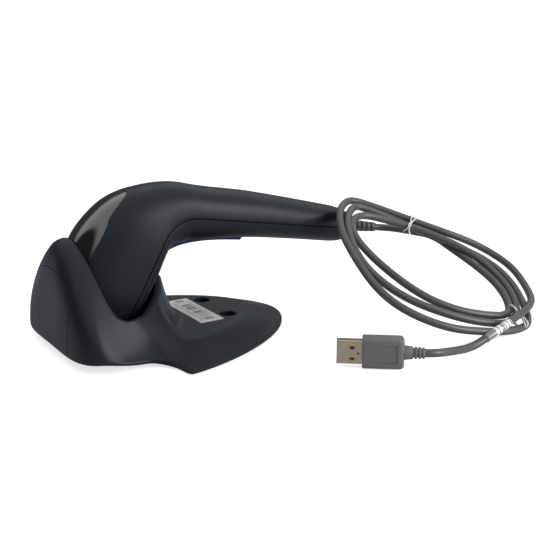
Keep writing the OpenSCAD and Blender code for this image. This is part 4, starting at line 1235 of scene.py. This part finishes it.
    def grip(self) -> bpy.types.Object:
        """Makes the plug's moulded grip with its strain relief."""
        t, w = self.plug_t / 2, self.plug_w / 2
        body = Shape().block((0, -t, -w), (self.grip_l, t, w))
        body.soften(body.edges_along(0, 1), 2.2, 6)
        back = [e for e in body.sharp(50) if min(v.co.x for v in e.verts) > self.grip_l - 0.1]
        body.soften(back, 2.4, 5)
        front = [e for e in body.sharp(50) if max(v.co.x for v in e.verts) < 0.1]
        body.soften(front, 0.7, 3)
        for side in (-1, 1):
            low, high = sorted((side * (t - self.pocket_deep), side * (t + 1)))
            (start, end), half = self.pocket, self.pocket_half
            pocket = Shape().block((start, low, -half), (end, high, half))
            pocket.soften(pocket.edges_along(1, 0.5), 0.6, 3)
            body.carve(pocket)
        high, wide = self.usb_t / 2, self.usb_w / 2
        body.carve(Shape().block((-1, -high, -wide), (self.usb_seat, high, wide)))
        r, deep, gap = self.relief_r, self.rib_deep, self.relief_gap
        slots = [point for x in self.relief_slots for rim in [r - self.relief_taper * x] for point in (
            (rim, x), (r - deep, x), (r - deep, x + gap), (rim, x + gap))]
        relief = Shape().turned([(0, -3), (r + 0.3, -3), (r + 0.3, 0.4), *slots,
                                 (2.6, self.relief_l), (0, self.relief_l)], 40)
        relief.soften(relief.sharp(50), 0.16, 2)
        relief.move(Matrix.Translation((self.grip_l, 0, 0)) @ Matrix.Rotation(math.pi / 2, 4, "Y"))
        body.add(relief).move(self.plug_frame)
        return body.finish("usb_grip", GRIP, Body.SCANNER, "plug_grip", crease=40)

    def shell(self) -> bpy.types.Object:
        """Makes the plug's folded metal shell."""
        t, w, wall = self.usb_t / 2, self.usb_w / 2, self.usb_wall

        def box(inset: float, low: float, high: float) -> Shape:
            """A box with rounded long edges, in from the shell's outside."""
            made = Shape().block((low, inset - t, inset - w), (high, t - inset, w - inset))
            return made.soften(made.edges_along(0, 1), self.usb_round - inset, 4)

        sleeve = box(0.0, -self.usb_l, self.usb_seat).carve(box(wall, -self.usb_l - 1, self.usb_seat + 1))
        x, half = self.latch_x, self.latch_half
        for z in (-self.latch_z, self.latch_z):
            sleeve.carve(Shape().block((x - half, -2 * t, z - half), (x + half, 2 * t, z + half)))
        dot = Shape().peg(0.55, -2 * t, 2 * t, 20).move(
            Matrix.Translation((-1.9, 0, -0.4)) @ Matrix.Rotation(math.pi / 2, 4, "X"))
        sleeve.carve(dot)
        sleeve.move(self.plug_frame)
        return sleeve.finish("usb_shell", NICKEL, Body.SCANNER, "plug_shell", crease=40)

    def build(self) -> None:
        cord, ties, wrap, grip, shell = self.cord(), self.ties(), self.wrap(), self.grip(), self.shell()
        self.boot()


@dataclass
class DeskHolder:
    """The moulded desk holder."""
    arch_h: float = 59.5
    side_h: float = 22.0
    column_h: float = 33.0
    cup_wall: float = 3.0
    cup_half_w: float = 35.5
    foot_half_w: float = 46.0
    plate_half_w: float = 68.0
    plate_tip: float = 39.0
    plateau_h: float = 9.0
    skin_t: float = 2.5
    screw_pitch: float = 30.0
    hole_d: float = 4.5
    recess_d: float = 9.0
    recess_deep: float = 4.5
    foot_h: float = 0.8
    cup_x: float = -62.0
    cup_half_l: float = 25.0
    front_x: float = -96.0
    foot_x: float = -62.0
    plate_x: float = -50.0
    corner_turn: float = 70.0
    neck_turn: float = 90.0
    side_turn: float = 95.0
    column_turn: float = 80.0
    arch_turn: float = 95.0
    front_lift: float = 5.0
    edge_t: float = 2.0
    fillet_r: float = 12.0
    flank_w: float = 24.0
    flank_turn: float = 50.0
    flank_blend: float = 20.0
    fillet_turn: float = 40.0
    floor_blend: float = 30.0
    edge_blend: float = 60.0
    arch_blend: float = 35.0
    plate_power: float = 2 / 1.45
    wing_power: float = 2 / 1.85
    foot_power: float = 2 / 5
    bulge_power: float = 0.42
    spread_power: float = 1.6
    rise_power: float = 2.4
    side_power: float = 1.35
    row_power: float = 1.4
    rim_w: float = 2.5
    boss_r: float = 6.0
    boss_h: float = 2.6
    floor_z: float = 8.1
    ribs: int = 216
    rim: Rows = Rows((
        (-15, 1.1, -0.1), (0, 1.16, 0), (15, 1.1, 0.1), (30, 0.98, 0.27), (45, 0.76, 0.49),
        (60, 0.48, 0.7), (75, 0.18, 0.9), (90, -0.1, 1), (105, -0.36, 1), (120, -0.54, 0.92),
        (135, -0.64, 0.76), (150, -0.72, 0.52), (165, -0.82, 0.25), (180, -0.9, 0), (195, -0.82, -0.25)))
    feet: tuple[Pair, ...] = ((-44, -51), (15, -20.15), (-44, 51), (15, 20.15))
    seam_leg: float = 26.5
    seam_spring: float = 27.0
    seam_rise: float = 18.5
    seam_r: float = 0.38

    def rim_plan(self, b: float, inset: float) -> Vector:
        """Plan of the cup's rim at angle b, moved in by inset."""
        d = Vector((self.cup_half_l * self.rim.at(1, b), self.cup_half_w * self.rim.at(2, b)))
        return Vector((self.cup_x, 0)) + d - inset * d.normalized()

    def rim_z(self, b: float) -> float:
        """Height of the rim at angle b."""
        arch = ease((b - self.arch_turn) / (180 - self.arch_turn))
        column = ease((self.column_turn - b) / self.column_turn)
        return (self.side_h + (self.arch_h - self.side_h) * arch
                + (self.column_h - self.side_h) * column)

    def foot_edge(self, b: float, inset: float, half_w: float) -> Vector:
        """Plan of the front foot at angle b."""
        share = max(0.0, (b - self.neck_turn) / (180 - self.neck_turn)) ** 1.5
        p = math.radians(mix(90, 180, share))
        reach = self.foot_x - self.front_x - inset
        return Vector((self.foot_x + reach * power(math.cos(p), self.foot_power),
                       half_w * power(max(0.0, math.sin(p)), self.foot_power)))

    def edge_plan(self, b: float) -> Vector:
        """Plan of the outer edge at angle b."""
        if b <= self.corner_turn:
            p = math.radians(90 * b / self.corner_turn)
            reach = self.plate_tip - self.plate_x
            return Vector((self.plate_x + reach * power(math.cos(p), self.plate_power),
                           self.plate_half_w * power(math.sin(p), self.wing_power)))
        if b < self.neck_turn:
            q = math.radians(90 * (b - self.corner_turn) / (self.neck_turn - self.corner_turn))
            return Vector((mix(self.foot_x, self.plate_x, math.cos(q)),
                           mix(self.plate_half_w, self.foot_half_w, math.sin(q))))
        return self.foot_edge(b, 0, self.foot_half_w)

    def edge_z(self, b: float) -> float:
        """Height of the lower edge at angle b."""
        return mix(self.foot_h, self.front_lift, ease((b - self.corner_turn) / self.edge_blend))

    def bulge(self, v: float) -> float:
        """Share along X of the bulging front."""
        e = 1 / self.bulge_power
        return (1 - (1 - v) ** e) ** (1 / e)

    def spread(self, v: float) -> float:
        """Share along Y of the spreading front."""
        return 1 - (1 - v) ** self.spread_power

    def arch_share(self, b: float) -> float:
        """Share of the front's form at angle b."""
        return ease((b - self.arch_turn) / self.arch_blend)

    def flank_z(self, b: float, left: float) -> float:
        """Height of the plate's top at a distance from its edge."""
        low = self.edge_z(b) + self.edge_t
        top = mix(self.plateau_h, low, ease((b - self.flank_turn) / self.flank_blend))
        return low + (top - low) * ease(left / self.flank_w)

    def outer(self, b: float, v: float) -> Vector:
        """Point of the outer face.

        Args:
            b: Angle round the holder from its tip to its front.
            v: Share from the rim to the edge.

        Returns:
            The point on the +Y side.
        """
        rim, edge = self.rim_plan(b, 0), self.edge_plan(b)
        run = (edge - rim).length
        s = run * v ** self.row_power
        flat = ease((b - self.fillet_turn) / (self.corner_turn - self.fillet_turn))
        steep = ease((b - self.corner_turn) / (self.side_turn - self.corner_turn))
        reach = mix(self.fillet_r, run, flat)
        p = mix(self.rise_power, self.side_power, steep)
        rise = (self.rim_z(b) - self.flank_z(b, run)) * max(0.0, 1 - s / reach) ** p
        front = self.arch_share(b)
        x = mix(s / run, self.bulge(v), front)
        y = mix(s / run, self.spread(v), front)
        z = mix(self.flank_z(b, run - s) + rise, mix(self.rim_z(b), self.edge_z(b) + self.edge_t, v), front)
        return Vector((mix(rim[0], edge[0], x), mix(rim[1], edge[1], y), z))

    def under(self, b: float, share: float) -> Vector:
        """Point of the hollow underside."""
        rim, edge = self.rim_plan(b, 0), self.edge_plan(b)
        run = (edge - rim).length
        s = max(0.0, run - self.rim_w) * share
        hollow = max(self.edge_z(b), self.flank_z(b, run - s) - self.skin_t)
        plan = rim.lerp(edge, s / run)
        return Vector((*plan, self.edge_z(b) if share == 1 else hollow))

    def inner(self, b: float, v: float) -> Vector:
        """Point of the cup's inside."""
        rim = self.rim_plan(b, self.cup_wall)
        foot = self.foot_edge(b, 5, self.cup_half_w - self.cup_wall)
        share = ease((b - self.neck_turn) / self.floor_blend)
        floor = self.rim_plan(b, self.cup_wall + 1).lerp(foot, share)
        front = self.arch_share(b)
        x, y = mix(v, self.bulge(v), front), mix(v, self.spread(v), front)
        z = mix(self.rim_z(b), self.floor_z, v)
        return Vector((mix(rim[0], floor[0], x), mix(rim[1], floor[1], y), z))

    def rings(self) -> list[Callable[[float], Vector]]:
        """Rings from the middle of the underside, over the rim, to the cup's floor."""
        made: list[Callable[[float], Vector]] = []

        def pool(share: float, z: float) -> Callable[[float], Vector]:
            """A level ring inside the rim's plan."""
            return lambda b: Vector((*Vector((self.cup_x, 0)).lerp(self.rim_plan(b, 0), share), z))

        made += [pool(share, self.front_lift) for share in (0.02, 0.5)]
        made += [lambda b, k=k: self.under(b, k) for k in (0, 0.15, 0.3, 0.45, 0.6, 0.75, 0.88, 0.96, 1)]
        made.append(lambda b: Vector((*self.edge_plan(b), self.edge_z(b))))
        made += [lambda b, v=v: self.outer(b, v) for v in span(1, 0, 44)]
        made += [lambda b, v=v: self.inner(b, v) for v in (0, 0.04, 0.1, *span(0.18, 1, 18))]
        sink = Vector((self.cup_x - 8, 0))
        made += [lambda b, k=k: Vector((*sink.lerp(self.inner(b, 1).xy, k), self.floor_z))
                 for k in (0.6, 0.02)]
        return made

    def seam(self, shell: Shape) -> Shape:
        """Makes the cutter for the arch-shaped seam on the front face.

        Args:
            shell: The holder that the seam lies on.

        Returns:
            A thin tube along the seam.
        """
        skin = BVHTree.FromBMesh(shell.bm)
        leg, spring, rise = self.seam_leg, self.seam_spring, self.seam_rise
        arch = [(leg * power(math.cos(a), 0.95), spring + rise * power(math.sin(a), 0.95))
                for a in (math.radians(degrees) for degrees in range(0, 90, 6))]
        half = [(leg - 2 + 2 * k, mix(self.front_lift, spring, k)) for k in span(0, 1, 6)[:-1]] + arch
        line = [*half, (0.0, spring + rise), *((-y, z) for y, z in reversed(half))]
        path = [skin.ray_cast(Vector((-300, y, z)), Vector((1, 0, 0)))[0] for y, z in line]
        return Shape().tube([point for point in path if point], self.seam_r, Vector((1, 0, 0)), 8)

    def build(self) -> bpy.types.Object:
        """Makes the holder with its rounded rims, seam and screw wells."""
        rings = self.rings()

        def turn(column: int) -> float:
            """Angle of a rib from the tip, the same on both sides."""
            a = 360 * column / self.ribs
            return min(a, 360 - a)

        def place(row: int, column: int) -> Vector:
            """Point of a ring at one rib."""
            p = rings[row](turn(column))
            return Vector((p.x, -p.y if 2 * column > self.ribs else p.y, p.z))

        def relax(rows: Sequence[int], low: float, high: float, passes: int) -> None:
            """Smooths some rows of the shell between two angles."""
            spots = {tuple(round(c, 3) for c in place(row, column)) for row in rows
                     for column in range(self.ribs) if low <= turn(column) <= high}
            verts = [v for v in shell.bm.verts if tuple(round(c, 3) for c in v.co) in spots]
            for _ in range(passes):
                bmesh.ops.smooth_vert(shell.bm, verts=verts, factor=0.5,
                                      use_axis_x=True, use_axis_y=True, use_axis_z=True)

        shell = Shape().sheet(len(rings) - 1, self.ribs, place)
        shell.tidy(0.002).close()
        relax(range(14, 50), 56, 100, 24)
        relax((*range(10, 14), *range(55, 59)), 0, 180, 2)
        shell.carve(self.seam(shell))
        r, top, seat = self.recess_d / 2, self.plateau_h, self.plateau_h - self.recess_deep
        for y in (self.screw_pitch / 2, -self.screw_pitch / 2):
            spot = Matrix.Translation((0, y, 0))
            shell.carve(Shape().peg(r + 2, self.foot_h, top - 1.2).move(spot), Carve.JOIN)
            shell.carve(Shape().peg(self.hole_d / 2, -1, top + 2).move(spot))
            well = Shape().turned([(0, seat), (r, seat), (r, top - 0.4), (r + 0.5, top + 0.1),
                                   (r + 0.5, top + 4), (0, top + 4)])
            shell.carve(well.move(spot))
        for x, y in self.feet:
            boss = Shape().peg(self.boss_r, self.foot_h, self.foot_h + self.boss_h)
            shell.carve(boss.move(Matrix.Translation((x, y, 0))), Carve.JOIN)
        return shell.finish("desk_holder", CHARCOAL_HOLDER, Body.HOLDER, "holder_shell", crease=32)


@dataclass
class Innards:
    """The CAD pieces that keep their shape and get a finish."""
    finishes: dict[str, Finish] = field(default_factory=lambda: {
        "rubber_feet": RUBBER, "holder_label": LABEL, "nose_bezel": CHARCOAL, "scan_window": WINDOW,
        "engine_chassis": ENGINE, "lens_barrel": ENGINE, "front_lens": LENS, "lamp_lenses": LENS,
        "sensor_board": BOARD, "ribbon_cable": FLEX, "main_board": BOARD, "decoder_chips": ENGINE,
        "beeper": ENGINE, "trigger_bracket": BRACKET, "trigger_pin": STEEL, "trigger_spring": STEEL,
        "switch_body": ENGINE, "switch_plunger": IVORY, "housing_screws": STEEL, "cable_jack": ENGINE,
        "modular_plug": CLEAR, "plug_tongue": IVORY, "plug_contacts": GOLD})

    def dress(self) -> None:
        """Puts each finish on its node."""
        for name, finish in self.finishes.items():
            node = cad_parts[name]
            if not node.material_slots:
                node.data.materials.append(finish.material())
            for slot in node.material_slots:
                slot.material = finish.material()
            LOG.info("%s: %s", name, finish.name)


@dataclass(frozen=True)
class Lamp:
    """A soft round lamp that hangs over the table."""
    name: str
    place: Triple
    size: float
    watts: float
    mirrored: bool = True


@dataclass
class Studio:
    """Camera, floor, lamps and world."""
    eye: Triple = (-0.2434, -0.4437, 0.1681)
    yaw: float = 32.9
    drop: float = 15.9
    lens: float = 60.69
    floor_size: float = 12.0
    wall_glow: float = 0.1
    ceiling_glow: float = 1.3
    ceiling: dict[str, Pair] = field(default_factory=lambda: {
        "X": (-0.71, -0.6), "Y": (0.9, 0.76), "Z": (0.15, 0.5)})
    fill_glow: float = 0.32
    floor_glow: float = 0.7
    aim: Triple = (0.02, -0.04, 0.03)
    lamps: tuple[Lamp, ...] = (Lamp("key", (0.7, -0.95, 0.4), 0.75, 11.0),
                               Lamp("top", (-0.45, 0.1, 1.1), 1.3, 4.5, False))

    def camera(self) -> None:
        """Sets the camera at the photograph's angle."""
        data = bpy.data.cameras.new("camera")
        data.lens, data.sensor_width, data.clip_start = self.lens, 36.0, 0.01
        camera = bpy.data.objects.new("camera", data)
        camera.location = self.eye
        camera.rotation_euler = (math.radians(90 - self.drop), 0, math.radians(-self.yaw))
        bpy.context.scene.collection.objects.link(camera)
        bpy.context.scene.camera = camera

    def floor(self) -> None:
        """Lays the pale floor, which stays white to the camera and keeps the shadow."""
        slab = Shape()
        bmesh.ops.create_grid(slab.bm, x_segments=1, y_segments=1, size=self.floor_size / MM / 2)
        bmesh.ops.scale(slab.bm, vec=(MM, MM, MM), verts=slab.bm.verts)
        mesh = bpy.data.meshes.new("floor")
        slab.bm.to_mesh(mesh)
        slab.bm.free()
        floor = bpy.data.objects.new("floor", mesh)
        floor.location.z = -0.0002
        bpy.context.scene.collection.objects.link(floor)
        graph = Graph("floor")
        graph.set(Base_Color=(0.86, 0.86, 0.86), Roughness=0.9)
        seen = graph.add("ShaderNodeLightPath", output="Is Camera Ray")
        glow = graph.add("ShaderNodeEmission", inputs={
            "Color": (1.0, 1.0, 1.0), "Strength": seen * self.floor_glow})
        both = graph.add("ShaderNodeAddShader", inputs={0: Value(graph, graph.shader.outputs[0]), 1: glow})
        graph.feed(graph.tree.nodes["Material Output"].inputs["Surface"], both)
        mesh.materials.append(graph.material)

    def world(self) -> None:
        """Sets a white backdrop, a room that darkens towards its walls, and an even fill light."""
        world = bpy.data.worlds.new("studio")
        world.use_nodes = True
        bpy.context.scene.world = world
        nodes, links = world.node_tree.nodes, world.node_tree.links

        def backdrop(colour: Triple, strength: float) -> bpy.types.Node:
            """Adds one Background node."""
            node = nodes.new("ShaderNodeBackground")
            node.inputs["Color"].default_value = (*colour, 1.0)
            node.inputs["Strength"].default_value = strength
            return node

        nodes.remove(nodes["Background"])
        back, room = backdrop((1.0, 1.0, 1.0), 1.0), backdrop((0.8, 0.8, 0.8), self.wall_glow)
        fill, path = backdrop((0.9, 0.95, 1.0), self.fill_glow), nodes.new("ShaderNodeLightPath")
        place, parts = nodes.new("ShaderNodeTexCoord"), nodes.new("ShaderNodeSeparateXYZ")
        links.new(place.outputs["Generated"], parts.inputs[0])
        glow = self.wall_glow
        for axis, (dark, light) in self.ceiling.items():
            reach = nodes.new("ShaderNodeMapRange")
            reach.interpolation_type = "SMOOTHSTEP"
            links.new(parts.outputs[axis], reach.inputs["Value"])
            reach.inputs["From Min"].default_value = dark
            reach.inputs["From Max"].default_value = light
            reach.inputs["To Min"].default_value = self.wall_glow
            if isinstance(glow, float):
                reach.inputs["To Max"].default_value = self.ceiling_glow
            else:
                links.new(glow, reach.inputs["To Max"])
            glow = reach.outputs[0]
        links.new(glow, room.inputs["Strength"])
        either = nodes.new("ShaderNodeMath")
        either.operation = "MAXIMUM"
        links.new(path.outputs["Is Glossy Ray"], either.inputs[0])
        links.new(path.outputs["Is Transmission Ray"], either.inputs[1])
        shown = fill.outputs[0]
        for share, other in ((either.outputs[0], room), (path.outputs["Is Camera Ray"], back)):
            mixed = nodes.new("ShaderNodeMixShader")
            links.new(share, mixed.inputs[0])
            links.new(shown, mixed.inputs[1])
            links.new(other.outputs[0], mixed.inputs[2])
            shown = mixed.outputs[0]
        links.new(shown, nodes["World Output"].inputs["Surface"])

    def hang(self, lamp: Lamp) -> None:
        """Hangs one lamp, pointed at the middle of the object."""
        data = bpy.data.lights.new(lamp.name, "AREA")
        data.shape, data.size, data.energy = "DISK", lamp.size, lamp.watts
        piece = bpy.data.objects.new(lamp.name, data)
        piece.location = lamp.place
        piece.rotation_euler = (Vector(self.aim) - Vector(lamp.place)).to_track_quat("-Z", "Y").to_euler()
        piece.visible_glossy = lamp.mirrored
        bpy.context.scene.collection.objects.link(piece)

    def build(self) -> None:
        """Sets up the whole studio."""
        bpy.context.scene.view_settings.view_transform = "Standard"
        self.camera()
        self.floor()
        self.world()
        for lamp in self.lamps:
            self.hang(lamp)


def main() -> None:
    """Builds the studio and the pieces in order."""
    logging.basicConfig(level=logging.INFO, format="%(name)s: %(message)s")
    Studio().build()
    form = BodyForm()
    CableSet(form).build()
    housings, trigger = Housings(form), TriggerPad(form)
    housings.upper()
    housings.lower(trigger.slot())
    housings.panel()
    trigger.build()
    DeskHolder().build()
    Innards().dress()


if __name__ == "__main__":
    main()
